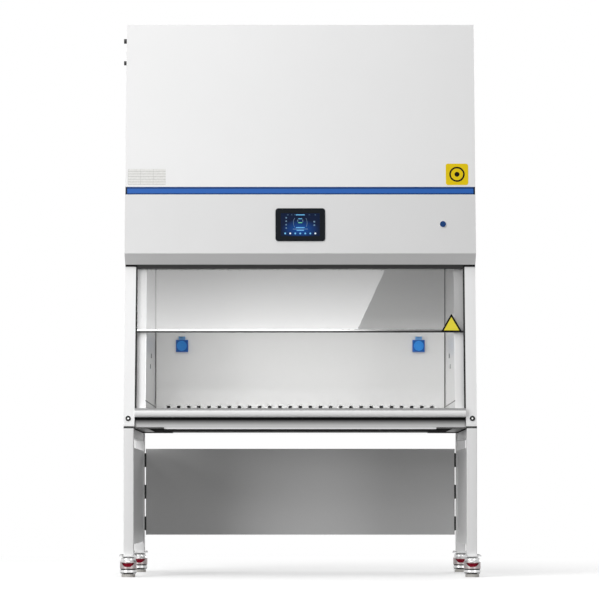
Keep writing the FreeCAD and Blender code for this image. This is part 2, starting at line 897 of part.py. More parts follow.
def pleated_filter(x, y, z, rim):
    """A filter: a deep frame round a pack of pleats, whose folds run front to back."""
    pack_x, pack_y, pack_z = inset(x, rim), inset(y, rim), inset(z, "pleat_depth")
    frame = cut(block(x, y, z), block(pack_x, pack_y, inset(z, "-1")))
    pack = prism("z", rectangle(pack_x, pack_y), pack_z)
    span = f"({pack_x[1]}) - ({pack_x[0]}) - pleat_pitch * 2"
    first = centred(f"{pack_x[0]} + pleat_pitch", "pleat_pitch / 2")
    for low, high in ((f"{pack_z[0]} - 1", f"{pack_z[0]} + pleat_depth"),
                      (f"{pack_z[1]} - pleat_depth", f"{pack_z[1]} + 1")):
        fold = hollow(pack, "z", rectangle(first, pack_y), (low, high))
        row_of(pack, fold, f"1 + floor(({span}) / pleat_pitch)", span)
    return group(frame, pack)


def make_air_system():
    opening_x, opening_y = across("exhaust_width / 2"), centred("exhaust_y", "exhaust_depth")
    supply = pleated_filter(across("chamber_half + filter_rim / 2"),
                            ("face_y + filter_front", "back_wall_y + skin"),
                            ("liner_top", "plenum_z"), "filter_rim")
    exhaust = pleated_filter(inset(opening_x, "fit"), inset(opening_y, "fit"),
                             ("plenum_top", "overall_height - guard_thickness"), "exhaust_rim")
    node("hepa_filters", group(supply, exhaust))

    x, y = across("chamber_half"), ("plenum_face", "plenum_back")
    box = cut(
        block(x, y, ("plenum_z", "plenum_top")),
        block(inset(x, "skin"), inset(y, "skin"), ("plenum_z - 1", "plenum_top - skin")),
        block(inset(opening_x, "exhaust_rim"), inset(opening_y, "exhaust_rim"),
              ("plenum_top - skin - 1", "plenum_top + 1")),
        rod("inlet_radius + bell_bend", "y", ("plenum_back - skin - 1", "plenum_back + 1"), "0", "blower_z"),
    )
    shelf = block(x, ("face_y + filter_front", f"{y[0]} + 1"), ("plenum_z", "plenum_z + skin"))
    node("plenum_shell", join(box, shelf, solid(inlet_bell(), "InletBell")))

    # The exhaust guard closes the opening in the roof.
    plate = ("overall_height - guard_thickness", "overall_height")
    guard = prism("z", rectangle(inset(opening_x, "fit"), inset(opening_y, "fit")), plate)
    span = "exhaust_width - 2 * guard_border - guard_slot"
    first = rectangle(centred(f"-({span}) / 2", "guard_slot"), inset(opening_y, "guard_border"))
    slot = hollow(guard, "z", first, inset(plate, "-1"))
    row_of(guard, slot, f"1 + floor(({span}) / guard_pitch)", span)
    node("exhaust_grille", guard)


def inlet_bell():
    """Bell mouth that leads the air from the rear duct into the eye of the impeller."""
    face = size("plenum_back")
    skin = size("skin")
    bend = size("bell_bend")
    lip = size("inlet_radius") + bend
    rim = lip + size("bell_flange")
    bend_y = face - skin - bend
    end_y = face - size("bell_depth")

    def on_bend(radius, turn):
        """A point on the bend, from the wall at no turn to the throat at a quarter turn."""
        return Vector(lip - radius * math.sin(turn), bend_y + radius * math.cos(turn), 0)

    eighth, quarter = math.pi / 4, math.pi / 2
    outer = [on_bend(bend, turn) for turn in (0, eighth, quarter)]
    inner = [on_bend(bend + skin, turn) for turn in (0, eighth, quarter)]
    corners = [Vector(lip - bend, end_y, 0), Vector(lip - bend - skin, end_y, 0)]
    flange = [Vector(rim, face, 0), Vector(rim, face - skin, 0)]
    wire = Part.Wire([
        Part.makeLine(flange[1], outer[0]),
        Part.Arc(*outer).toShape(),
        Part.makeLine(outer[2], corners[0]),
        Part.makeLine(corners[0], corners[1]),
        Part.makeLine(corners[1], inner[2]),
        Part.Arc(*inner[::-1]).toShape(),
        Part.makeLine(inner[0], flange[0]),
        Part.makeLine(flange[0], flange[1]),
    ])
    bell = Part.Face(wire).revolve(Vector(), Vector(0, 1, 0), 360)
    bell.translate(Vector(0, 0, size("blower_z")))
    return bell


def make_blower():
    """Backward-curved impeller on its shaft, and the motor that carries it on a spider of four stays."""
    wall = size("plenum_back") - size("skin")
    mouth = wall - size("impeller_gap")
    back = mouth - size("impeller_width")
    eye = size("inlet_radius") + size("inlet_gap")
    reach = size("impeller_radius")
    shaft = size("blower_shaft")
    wheel = [
        ring(eye, reach, mouth - size("shroud_thickness"), mouth),
        ring(0, reach, back, back + size("back_plate")),
        ring(0, shaft + size("hub_wall"), back, back + size("hub_length")),
        ring(0, shaft, back - size("shaft_reach"), back + 1),
    ]
    blade = blade_shape(eye + size("blade_thickness"), reach, back + size("back_plate") - 1,
                        mouth - size("shroud_thickness") + 1)
    count = int(size("blade_count"))
    for number in range(count):
        copy = blade.copy()
        copy.rotate(Vector(), Vector(0, 1, 0), 360 * number / count)
        wheel.append(copy)
    impeller = wheel[0].multiFuse(wheel[1:])
    impeller.translate(Vector(0, 0, size("blower_z")))
    node("impeller", solid(impeller, "Impeller"))

    motor_back = back - size("blower_gap")
    motor_front = motor_back - size("blower_length")
    cap = size("blower_cap")
    case_radius = size("blower_radius")
    spider_y = motor_front + size("spider_setback")
    stay = size("stay_reach")
    width = size("spider_width")
    bar = Part.makeBox(stay + width / 2 - case_radius + 4, size("spider_thickness"), width,
                       Vector(case_radius - 4, spider_y, -width / 2))
    arm = bar.fuse(Part.makeCylinder(size("stay_radius"), wall - spider_y, Vector(stay, spider_y, 0),
                                     Vector(0, 1, 0)))
    parts = [ring(0, case_radius - cap, motor_front, motor_front + cap)]
    for quarter in range(4):
        copy = arm.copy()
        copy.rotate(Vector(), Vector(0, 1, 0), 45 + 90 * quarter)
        parts.append(copy)
    case = ring(shaft + size("running_fit"), case_radius, motor_front + cap, motor_back)
    motor = case.multiFuse(parts)
    motor.translate(Vector(0, 0, size("blower_z")))
    node("blower_motor", solid(motor, "BlowerMotor"))


def ring(bore, outer, low, high):
    """A disc or ring about the y axis, solid when it has no bore."""
    disc = Part.makeCylinder(outer, high - low, Vector(0, low, 0), Vector(0, 1, 0))
    if bore > 0:
        disc = disc.cut(Part.makeCylinder(bore, high - low + 2, Vector(0, low - 1, 0), Vector(0, 1, 0)))
    return disc


def blade_shape(inner, outer, low, high):
    """One backward-curved blade: an arc in the xz plane that leans away from the turn, padded along y."""
    lean = math.radians(size("blade_lean"))
    outer -= size("blade_thickness")
    start = Vector(inner, 0, 0)
    end = Vector(outer * math.cos(lean), 0, outer * math.sin(lean))
    chord = end - start
    square = Vector(chord.z, 0, -chord.x).normalize()
    middle = (start + end) * 0.5 + square * (chord.Length * size("blade_camber"))
    step = square * size("blade_thickness")
    wire = Part.Wire([
        Part.Arc(start, middle, end).toShape(),
        Part.makeLine(end, end - step),
        Part.Arc(end - step, middle - step, start - step).toShape(),
        Part.makeLine(start - step, start),
    ])
    blade = Part.Face(wire).extrude(Vector(0, high - low, 0))
    blade.translate(Vector(0, low, 0))
    return blade


# ---- controls --------------------------------------------------------------------------------------------


def make_display():
    """Touch display: a rounded bezel on the panel, its housing behind, and the glass screen in its recess."""
    front = "cover_n - bezel_proud"
    bezel = prism("y", rectangle(across("bezel_width / 2"), centred("display_s", "bezel_height")),
                  (front, "cover_n"))
    fillet(bezel, "bezel_corner", lambda edge: edge.BoundBox.XLength < NEAR and edge.BoundBox.ZLength < NEAR)
    housing = block(across("bezel_width / 2 - display_margin"), ("cover_n - 1", "cover_n + display_body"),
                    centred("display_s", "bezel_height - 2 * display_margin"))
    window_x, window_s = across("screen_width / 2"), centred("display_s", "screen_height")
    recess = f"{front} + screen_recess"
    window = block(window_x, (f"{front} - 1", recess), window_s)
    node("display_bezel", on_slope(cut(join(bezel, housing), window)))
    glass = block(inset(window_x, "fit"), (f"{recess} - screen_glass", recess), inset(window_s, "fit"))
    node("display_screen", on_slope(glass))


def make_power_button():
    axis = ("button_x", "button_s")
    collar = cut(
        join(rod("button_radius + collar_rim", "y", ("cover_n - collar_proud", "cover_n"), *axis),
             rod("button_radius + collar_rim / 2", "y", ("cover_n - 1", "cover_n + button_barrel"), *axis)),
        rod("button_radius + fit", "y",
            ("cover_n - collar_proud - 1", "cover_n + button_travel + button_skirt * 2"), *axis),
    )
    node("button_ring", on_slope(collar))
    cap = rod("button_radius", "y", ("cover_n - button_proud", "cover_n + button_skirt"), *axis)
    node("power_button", on_slope(cap))


def make_control_box():
    """Electrical enclosure on the front of the plenum, with louvres in its face."""
    z = ("control_box_z", "control_box_top")
    case = block(across("control_box_width / 2"), ("control_box_front", "plenum_face"), z)
    vents = [
        block(centred(f"-control_box_width / 2 + vent_first + vent_pitch * {number}", "vent_width"),
              ("control_box_front - 1", "control_box_front + vent_depth"),
              inset(z, "vent_margin"))
        for number in range(int(size("vent_count")))
    ]
    node("control_box", cut(case, *vents))


# ---- sockets on the back wall ----------------------------------------------------------------------------


def make_sockets():
    """Splash-proof sockets: a body on the back wall and a lid that hangs from a pin between two ears."""
    bodies = []
    for side, x in (("left", "(-socket_x)"), ("right", "socket_x")):
        face = "back_wall_y - socket_depth"
        top = "socket_z + socket_height / 2"
        pin_axis = ("hinge_y", "hinge_z")
        case = block(centred(x, "socket_width"), (face, "back_wall_y"), centred("socket_z", "socket_height"))
        web = block(centred(x, "hinge_width"), ("hinge_y + hinge_barrel + web_gap", "back_wall_y"),
                    (top, f"{top} + hinge_height"))
        ears = [
            block(centred(f"{x} {sign} (hinge_width - ear_width) / 2", "ear_width"),
                  ("hinge_y - hinge_barrel", "hinge_y + hinge_barrel + web_gap + 1"),
                  (top, f"{top} + hinge_height"))
            for sign in "-+"
        ]
        pin = rod("hinge_pin", "x", centred(x, "hinge_width"), *pin_axis)
        recess = rod("socket_recess", "y", (f"{face} - 1", f"{face} + recess_depth"), x, "socket_z")
        contacts = [
            block(centred(f"{x} {sign} contact_pitch / 2", "contact_width"),
                  (face, f"{face} + contact_depth"), centred("socket_z", "contact_height"))
            for sign in "-+"
        ]
        bodies.append(cut(join(case, web, *ears, pin), recess, *contacts))

        between_ears = centred(x, "hinge_width - 2 * (ear_width + fit)")
        front = "hinge_y - socket_lid / 2"
        thickness = (front, f"{front} + socket_lid")
        plate = block(centred(x, "socket_width - 2 * lid_margin"), thickness,
                      centred("socket_z", "socket_height - 2 * lid_margin"))
        dome = rod("lid_dome", "y", (f"{front} - dome_rise", f"{front} + 1"), x, "socket_z")
        arm = block(between_ears, thickness, (f"{top} - lid_margin - 1", "hinge_z"))
        barrel = rod("hinge_barrel", "x", between_ears, *pin_axis)
        eye = rod("hinge_pin + running_fit", "x", inset(between_ears, "-1"), *pin_axis)
        node(f"socket_lid_{side}", cut(join(plate, dome, arm, barrel), eye))
    node("socket_bodies", group(*bodies))


# ---- sash and its drive ----------------------------------------------------------------------------------


def make_sash():
    """The pane with its edge channels, and the grooved guides that it slides in."""
    glass_n = ("glass_front", "glass_back")
    glass_s = ("sash_s", "sash_top_s")
    node("sash_glass", on_slope(block(across("glass_x"), glass_n, glass_s)))

    # Channel on the lower edge, and the lift rail on the upper edge with an arm to each belt.
    def channel(half, ends):
        return cut(block(across(half), inset(glass_n, "-rail_wall"), ends),
                   block(across(f"{half} + 1"), glass_n, glass_s))

    lower = channel("guide_x - channel_gap", ("sash_s - rail_wall", "sash_s + channel_height"))
    upper = channel("guide_x - lift_rail_gap", ("sash_top_s - lift_rail_height", "sash_top_s + rail_wall"))
    arms = [
        block(centred(f"{sign} * pulley_x", "arm_width"),
              ("glass_back + rail_wall", "drive_n - pulley_radius - belt_thickness - fit"),
              ("sash_top_s - arm_foot", "sash_top_s + arm_head"))
        for sign in (-1, 1)
    ]
    node("sash_rails", on_slope(group(lower, join(upper, *arms))))

    guide = cut(
        block(("guide_x", "guide_x + guide_width"), ("skin * cos(face_tilt)", "guide_back"),
              ("(armrest_top - sill_z) / cos(face_tilt) + guide_foot", "shaft_s + guide_head")),
        block(("guide_x - 1", "glass_x + groove_gap"), inset(glass_n, "-groove_play"),
              ("0", "shaft_s + guide_head + 1")),
    )
    node("sash_guides", on_slope(both_sides(guide)))


def make_drive():
    """Belt drive behind the sash: a cross shaft at the top, an idler shaft below, and their bulkhead."""
    make_drive_frame()
    for name, s in (("drive_shaft", "shaft_s"), ("idler_shaft", "idler_s")):
        bar = rod("shaft_radius", "x", across("pulley_x + pulley_width / 2 + shaft_end"), "drive_n", s)
        pulleys = [rod("pulley_radius", "x", centred(f"{sign} * pulley_x", "pulley_width"), "drive_n", s)
                   for sign in (-1, 1)]
        node(name, on_slope(join(bar, *pulleys)))
    make_gear_motor()
    belts = [belt(centred(f"{sign} * pulley_x", "belt_width")) for sign in (-1, 1)]
    node("drive_belts", on_slope(group(*belts)))


def make_drive_frame():
    plate = block(across("chamber_half - fit"), ("bulkhead_n", "bulkhead_n + skin"),
                  ("idler_s - bulkhead_foot", "shaft_s + bulkhead_head"))
    bearings = [
        block(centred(f"{sign} * bearing_x", "bearing_width"),
              ("drive_n - bearing_front", "bulkhead_n + skin / 2"), centred(s, "bearing_height"))
        for s in ("idler_s", "shaft_s") for sign in (-1, 1)
    ]
    bores = [
        rod("shaft_radius + running_fit", "x", across("chamber_half + 1"), "drive_n", s)
        for s in ("idler_s", "shaft_s")
    ]
    node("drive_frame", on_slope(cut(join(plate, *bearings), *bores)))


def make_gear_motor():
    """The motor lies above the shaft; its gear case reaches down round the shaft."""
    ends = ("motor_end - motor_case_length", "motor_end")
    case = join(
        rod("motor_case_radius", "x", ends, "drive_n", "motor_s"),
        block(("motor_end - gearbox_width", "motor_end"), ("drive_n - motor_case_radius", "bulkhead_n"),
              ("shaft_s - gearbox_drop", "motor_s + motor_case_radius")),
        block((f"{ends[0]} + motor_foot_inset", f"{ends[0]} + motor_foot_inset + motor_foot"),
              ("drive_n + motor_case_radius / 2", "bulkhead_n"), centred("motor_s", "motor_case_radius")),
    )
    bore = rod("shaft_radius + running_fit", "x", inset(ends, "-1"), "drive_n", "shaft_s")
    node("gear_motor", on_slope(cut(case, bore)))


def belt(x):
    """A closed flat belt round both pulleys."""

    def capsule(radius):
        return join(
            rod(radius, "x", x, "drive_n", "idler_s"),
            rod(radius, "x", x, "drive_n", "shaft_s"),
            block(x, centred("drive_n", f"2 * ({radius})"), ("idler_s", "shaft_s")),
        )

    return cut(capsule("pulley_radius + belt_thickness"), capsule("pulley_radius + fit"))


# ---- stand -----------------------------------------------------------------------------------------------


def tube(x, y, z, along):
    """Square tube, closed at its ends by what it meets."""
    inner = [inset(ends, "-1" if axis == along else "leg_wall") for axis, ends in zip("xyz", (x, y, z))]
    return cut(block(x, y, z), block(*inner))


def make_stand():
    legs = []
    rails = []
    rail_z = ("stand_height - rail_height", "stand_height")
    between_legs = inset(("front_leg_y", "rear_leg_y"), "leg_size / 2")
    for sign in (-1, 1):
        x = f"{sign} * leg_x"
        for y in ("front_leg_y", "rear_leg_y"):
            legs.append(tube(centred(x, "leg_size"), centred(y, "leg_size"),
                             ("caster_height", "stand_height"), "z"))
        rails.append(tube(centred(x, "rail_width"), between_legs, rail_z, "y"))
    rails.append(tube(across("leg_x - leg_size / 2"), centred("rear_leg_y", "rail_width"), rail_z, "x"))
    node("stand_frame", group(*legs, *rails))

    sheet_x = "leg_x - leg_size / 2 + panel_inset"
    side = block((sheet_x, f"{sheet_x} + panel_skin"), between_legs, ("side_sheet_bottom", "side_sheet_top"))
    node("stand_side_panels", both_sides(side))

    # The back sheet hooks into the rear legs with tabs at each side.
    leg_face = "leg_x - leg_size / 2"
    edge = f"{leg_face} - back_sheet_gap"
    front = "rear_leg_y - leg_size / 2 + back_sheet_setback"
    y = (front, f"{front} + panel_skin")
    sheet = block(across(edge), y, ("back_sheet_bottom", "back_sheet_top"))
    hooks = [
        block(ends, y, centred(f"hook_first + hook_pitch * {step}", "hook_height"))
        for ends in ((f"-({leg_face})", f"-({edge}) + 1"), (f"{edge} - 1", leg_face))
        for step in range(int(size("hook_count")))
    ]
    node("stand_rear_panel", join(sheet, *hooks))


def make_mounting_plates():
    """Flat shoes between the legs and the cabinet, and the caster plates with their kingpins."""
    plates = []
    for sign, shoe in ((-1, ("-half_width", "-shoe_x")), (1, ("shoe_x", "half_width"))):
        for y in ("front_leg_y", "rear_leg_y"):
            plates.append(block(shoe, centred(y, "leg_size"), ("stand_height", "shell_z")))
            x = f"{sign} * caster_x"
            under = "caster_height - plate_thickness"
            plates.append(join(
                block(centred(x, "caster_plate - 2 * caster_offset"), centred(y, "caster_plate"),
                      (under, "caster_height")),
                swivel_race(x, y),
                rod("kingpin_radius", "z", ("kingpin_bottom + 1", f"{under} + 1"), x, y),
                rod("kingpin_head", "z", ("kingpin_bottom", "kingpin_bore_top - fit"), x, y),
            ))
    node("mounting_plates", group(*plates))


def swivel_race(x, y):
    """Coned ball race between a caster plate and the crown of its housing."""
    race = DOC.addObject("Part::Cone", "Race")
    bottom, top = "drum_top + fit", "caster_height - plate_thickness + 1"
    bind(race, Radius1="race_bottom", Radius2="race_top", Height=f"{top} - ({bottom})",
         Placement__Base__x=x, Placement__Base__y=y, Placement__Base__z=bottom)
    return race


# ---- levelling casters -----------------------------------------------------------------------------------


def on_axis(radius, ends):
    """A round bar on the caster's upright axis."""
    return rod(radius, "z", ends, "0", "0")


def thumb_window():
    """Lens-shaped window in the wall of the drum: the crossing of a large low bar and a larger high one."""
    y = ("-caster_radius - 1", "0")
    lens = common(rod("lower_bow", "y", y, "0", "window_foot + lower_bow"),
                  rod("upper_bow", "y", y, "0", "window_brow - upper_bow"))
    return cut(lens, on_axis("pocket_radius", ("window_foot - 1", "window_brow + 1")))


def make_caster_housing():
    """Cast housing: a drum round the dial, a lip over the pad, and a fork behind for the wheel."""
    drum = turned([
        ("0", "lip_bottom"),
        ("lip_radius", "lip_bottom"),
        ("band_radius", "band_bottom"),
        ("band_radius", "band_top"),
        ("groove_radius", "band_top"),
        ("groove_radius", "drum_bottom"),
        ("caster_radius", "drum_bottom"),
        ("caster_radius", "drum_shoulder"),
        ("crown_radius", "crown_bottom"),
        ("crown_radius", "drum_top"),
        ("0", "drum_top"),
    ], "z")
    DOC.recompute()
    shoulder, crown = circle_at("z", size("drum_shoulder")), circle_at("z", size("drum_top"))
    fillet(drum, "drum_round", lambda edge: shoulder(edge) or crown(edge))
    fork_end = "wheel_trail + fork_reach"
    fork = prism("x", [
        ("0", "fork_bottom"),
        (fork_end, "fork_bottom"),
        (fork_end, "fork_brow"),
        ("wheel_trail - fork_reach", "fork_top"),
        ("0", "fork_top"),
    ], across("fork_x"))
    slot_x = across("wheel_width / 2 + fit")
    hollowed = cut(
        join(drum, fork),
        on_axis("pad_radius + pad_gap", ("lip_bottom - 1", "lip_bottom + pad_pocket")),
        on_axis("stem_radius + fit", ("lip_bottom", "dial_bottom")),
        on_axis("pocket_radius", ("dial_bottom - fit", "dial_bottom + dial_height + fit")),
        on_axis("kingpin_head + kingpin_gap", ("dial_bottom", "kingpin_bore_top")),
        on_axis("kingpin_radius + running_fit", ("kingpin_bore_top - 1", "drum_top + 1")),
        block(slot_x, ("wheel_trail - wheel_radius - wheel_gap", f"{fork_end} + 1"),
              ("0", "wheel_z + wheel_radius + wheel_gap")),
        thumb_window(),
    )
    return join(hollowed, rod("axle_radius", "x", across("fork_x"), "wheel_trail", "wheel_z"))


def make_caster_wheel():
    """Solid wheel with a dished web and a rounded tread."""
    half, web, hub = "wheel_width / 2", "wheel_width / 2 - wheel_dish", "wheel_width / 2 - hub_inset"
    bore = "axle_radius + running_fit"
    boss = "axle_radius + wheel_hub"
    rim = "wheel_radius - wheel_rim"
    side = [(hub, bore), (hub, boss), (web, boss), (web, rim), (half, rim), (half, "wheel_radius")]
    wheel = turned(side + [(f"-({x})", radius) for x, radius in reversed(side)], "x")
    DOC.recompute()
    tread = size("wheel_radius")
    fillet(wheel, "wheel_round", lambda edge: isinstance(edge.Curve, Part.Circle)
           and abs(edge.Curve.Radius - tread) < NEAR)
    placed = group(wheel)
    bind(placed, Placement__Base__y="wheel_trail", Placement__Base__z="wheel_z")
    return placed


def make_caster_dial():
    """Thumb dial with a scalloped rim, threaded on the stem of the pad."""
    z = ("dial_bottom", "dial_bottom + dial_height")
    count = int(size("scallop_count"))
    centre = "(dial_radius + scallop_radius - scallop_depth)"
    scallops = [
        rod("scallop_radius", "z", inset(z, "-1"), f"{centre} * cos(360 * {step} / scallop_count)",
            f"{centre} * sin(360 * {step} / scallop_count)")
        for step in range(count)
    ]
    return cut(on_axis("dial_radius", z), *scallops, on_axis("stem_radius + running_fit", inset(z, "-1")))


def make_caster_pad():
    """Levelling pad: a flat foot, a neck and the threaded stem that the dial turns on."""
    return turned([
        ("0", "0"),
        ("pad_radius", "0"),
        ("pad_radius", "pad_thickness"),
        ("pad_radius - pad_step", "pad_thickness"),
        ("pad_radius - pad_step", "pad_thickness + pad_neck"),
        ("stem_radius", "pad_thickness + pad_neck"),
        ("stem_radius", "stem_top"),
        ("0", "stem_top"),
    ], "z")


def make_casters():
    masters = {
        "housing": make_caster_housing(),
        "wheel": make_caster_wheel(),
        "dial": make_caster_dial(),
        "pad": make_caster_pad(),
    }
    for end, y in (("front", "front_leg_y"), ("rear", "rear_leg_y")):
        for side, x in (("left", "-caster_x"), ("right", "caster_x")):
            for piece, master in masters.items():
                placed = group(master)
                bind(placed, Placement__Base__x=x, Placement__Base__y=y)
                node(f"caster_{piece}_{end}_{side}", placed)


# ---- small fittings --------------------------------------------------------------------------------------


def make_fittings():
    """Cover screws on the posts, port plugs in the chamber's walls, cable glands and the drain plug."""
    screws = []
    for sign in (-1, 1):
        axis = (f"{sign} * post_screw_x", "post_screw_s")
        head = rod("post_screw_radius", "y", ("-post_screw_head", "0"), *axis)
        recess = rod("post_screw_recess", "y", ("-post_screw_head - 1", "-post_screw_head / 2"), *axis)
        shank = rod("post_screw_shank", "y", ("-post_screw_head", "post_screw_length"), *axis)
        screws.append(join(cut(head, recess), shank))
    node("post_screws", on_slope(group(*screws)))

    plugs = []
    for name in ("high_port", "low_port"):
        axis = (f"face_y + {name}_depth", f"{name}_z")
        head = rod("port_radius", "x", ("chamber_half - port_head", "chamber_half"), *axis)
        neck = rod("port_radius - neck_step - fit", "x",
                   ("chamber_half - 1", "chamber_half + neck_length"), *axis)
        plugs.append(both_sides(join(head, neck)))
    for name in ("high_gland", "low_gland"):
        axis = ("gland_y", f"{name}_z")
        plugs.append(join(
            rod(f"{name}_radius", "x", ("-half_width - gland_reach", "-half_width"), *axis),
            rod(f"{name}_radius - neck_step", "x", ("-half_width - 1", "-half_width + neck_length"), *axis),
        ))
    plugs.append(join(
        rod("drain_radius", "z", ("shell_z - drain_height", "shell_z"), "drain_x", "drain_y"),
        rod("drain_neck - fit", "z", ("shell_z - 1", "shell_z + neck_length"), "drain_x", "drain_y"),
    ))
    node("port_plugs", group(*plugs))


make_side_panels()
make_rear_and_top()
make_front_covers()
make_sill()
make_chamber_floor()
make_chamber_walls()
make_diffuser()
make_lamp()
make_air_system()
make_blower()
make_display()
make_power_button()
make_control_box()
make_sockets()
make_sash()
make_drive()
make_stand()
make_mounting_plates()
make_casters()
make_fittings()
DOC.recompute()

failed = [thing.Name for thing in DOC.Objects if {"Invalid", "Error"} & set(thing.State)]
if failed:
    raise RuntimeError("these objects failed: " + ", ".join(failed))
for name, piece in NODES.items():
    if piece.Shape.isNull() or not piece.Shape.isValid():
        raise RuntimeError(f"{name} has no valid shape")

os.makedirs("parts", exist_ok=True)
for name, piece in NODES.items():
    piece.Shape.exportStep(f"parts/{name}.step")
print(len(NODES), "sub-parts written")
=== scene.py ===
import json
import math
import bmesh
import bpy
from mathutils import Matrix, Vector


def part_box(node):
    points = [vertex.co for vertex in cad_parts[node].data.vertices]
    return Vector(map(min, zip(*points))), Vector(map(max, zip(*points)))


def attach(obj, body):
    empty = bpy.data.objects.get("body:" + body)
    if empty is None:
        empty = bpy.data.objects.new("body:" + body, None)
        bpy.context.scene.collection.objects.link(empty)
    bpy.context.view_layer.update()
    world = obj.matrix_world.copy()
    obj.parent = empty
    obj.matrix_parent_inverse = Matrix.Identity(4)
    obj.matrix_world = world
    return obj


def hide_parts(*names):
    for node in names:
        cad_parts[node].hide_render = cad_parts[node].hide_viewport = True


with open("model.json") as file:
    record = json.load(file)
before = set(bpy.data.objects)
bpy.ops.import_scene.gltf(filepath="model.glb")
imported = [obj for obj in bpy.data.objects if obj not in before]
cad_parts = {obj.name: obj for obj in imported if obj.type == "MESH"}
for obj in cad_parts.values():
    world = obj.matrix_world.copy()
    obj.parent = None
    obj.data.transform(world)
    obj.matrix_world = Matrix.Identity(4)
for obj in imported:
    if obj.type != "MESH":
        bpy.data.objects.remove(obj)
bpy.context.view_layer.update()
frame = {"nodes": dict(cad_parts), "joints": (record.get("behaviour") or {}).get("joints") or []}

# Looks of a biosafety cabinet on a stand with levelling casters. Metres, +Z up, the operator stands at -Y.

MM = 0.001
JOINTS = {joint["name"]: joint for joint in frame["joints"]}
UP_SLOPE = Vector(JOINTS["sash_slide"]["axis"]).normalized()
INTO_SLOPE = Vector(JOINTS["power_press"]["axis"]).normalized()
LEAN = UP_SLOPE.y / UP_SLOPE.z
CORNERS = [(end, side) for end in ("front", "rear") for side in ("left", "right")]

PEEL = 1.6 * MM  # grain of the orange peel in the cabinet's paint
STAND_PEEL = 2.6 * MM  # the coarser peel on the stand's sheets
CLOUD = 220 * MM  # size of the faint clouds in a painted face
BRUSH_LINE = 0.9 * MM  # width of one line in brushed steel
BRUSH_LENGTH = 160  # how many times longer than wide such a line is
FAINT_RELIEF = 0.02 * MM
FINE_RELIEF = 0.03 * MM


# ---- shader maths --------------------------------------------------------------------------------------


class Value:
    """A socket that gives numbers. Python arithmetic on it adds Math nodes to its finish."""

    def __init__(self, finish, socket):
        self.finish = finish
        self.socket = socket

    def maths(self, operation, *terms):
        return self.finish.node("ShaderNodeMath", {"operation": operation}, dict(enumerate(terms)))

    def __add__(self, other):
        return self.maths("ADD", self, other)

    def __sub__(self, other):
        return self.maths("SUBTRACT", self, other)

    def __rsub__(self, other):
        return self.maths("SUBTRACT", other, self)

    def __mul__(self, other):
        return self.maths("MULTIPLY", self, other)

    def __truediv__(self, other):
        return self.maths("DIVIDE", self, other)

    def __rtruediv__(self, other):
        return self.maths("DIVIDE", other, self)

    def __gt__(self, other):
        return self.maths("GREATER_THAN", self, other)

    def __lt__(self, other):
        return self.maths("LESS_THAN", self, other)

    def __abs__(self):
        return self.maths("ABSOLUTE", self)

    def __mod__(self, other):
        return self.maths("FLOORED_MODULO", self, other)

    __radd__ = __add__
    __rmul__ = __mul__

    def larger(self, other):
        return self.maths("MAXIMUM", self, other)

    def root(self):
        return self.maths("SQRT", self)

    def between(self, low, high):
        """Take a value from 0..1 to low..high."""
        return self * (high - low) + low


OUTPUTS = {"materials": "ShaderNodeOutputMaterial", "worlds": "ShaderNodeOutputWorld"}


class Finish:
    """The shader nodes of one material, or of the world."""

    def __init__(self, name, kind="materials"):
        self.owner = getattr(bpy.data, kind).new(name)
        self.owner.use_nodes = True
        self.tree = self.owner.node_tree
        self.tree.nodes.clear()
        self.output = self.tree.nodes.new(OUTPUTS[kind])

    def node(self, kind, settings, sockets, output=0):
        """Add a node: its settings first, then a value or a link for each named or numbered socket."""
        made = self.tree.nodes.new(kind)
        for name, value in settings.items():
            setattr(made, name, value)
        for key, value in sockets.items():
            if isinstance(value, Value):
                self.tree.links.new(value.socket, made.inputs[key])
            else:
                made.inputs[key].default_value = value
        return Value(self, made.outputs[output])

    def place(self):
        return self.node("ShaderNodeTexCoord", {}, {}, "Object")

    def axes(self):
        """The x, y and z of a point, as three values."""
        split = self.node("ShaderNodeSeparateXYZ", {}, {0: self.place()})
        return [Value(self, socket) for socket in split.socket.node.outputs]

    def rays(self, *kinds):
        """1 on rays of the kinds that are named, and 0 on the others."""
        path = self.node("ShaderNodeLightPath", {}, {}).socket.node
        first, *others = [Value(self, path.outputs[f"Is {kind} Ray"]) for kind in kinds]
        for other in others:
            first = first.larger(other)
        return first

    def noise(self, size, detail=2.0, stretch=(1, 1, 1)):
        """Noise whose grains are about one size across, or longer along an axis that is stretched."""
        scale = [1 / (size * times) for times in stretch]
        scaled = self.node("ShaderNodeMapping", {}, {0: self.place(), "Scale": scale})
        return self.node("ShaderNodeTexNoise", {}, {0: scaled, "Scale": 1.0, "Detail": detail})

    def blend(self, share, first, second):
        """A colour between two colours."""
        return self.node("ShaderNodeMix", {"data_type": "RGBA"}, {0: share, 6: first, 7: second}, 2)

    def mix(self, share, first, second):
        """A surface between two surfaces."""
        return self.node("ShaderNodeMixShader", {}, {0: share, 1: first, 2: second})

    def bump(self, height, depth):
        return self.node("ShaderNodeBump", {}, {"Strength": 1.0, "Distance": depth, "Height": height})

    def shade(self, **sockets):
        """The main shader; words joined by _ are the socket's name."""
        named = {name.replace("_", " "): value for name, value in sockets.items()}
        return self.node("ShaderNodeBsdfPrincipled", {}, named)

    def done(self, surface):
        self.tree.links.new(surface.socket, self.output.inputs["Surface"])
        return self.owner

    def complete(self, **sockets):
        """Close a finish that is one main shader."""
        return self.done(self.shade(**sockets))


def grey(level):
    return (level, level, level, 1)


def tinted(colour, share):
    """A colour made darker or lighter by a share."""
    return tuple(channel * share for channel in colour[:3]) + (1,)


# ---- finishes ------------------------------------------------------------------------------------------


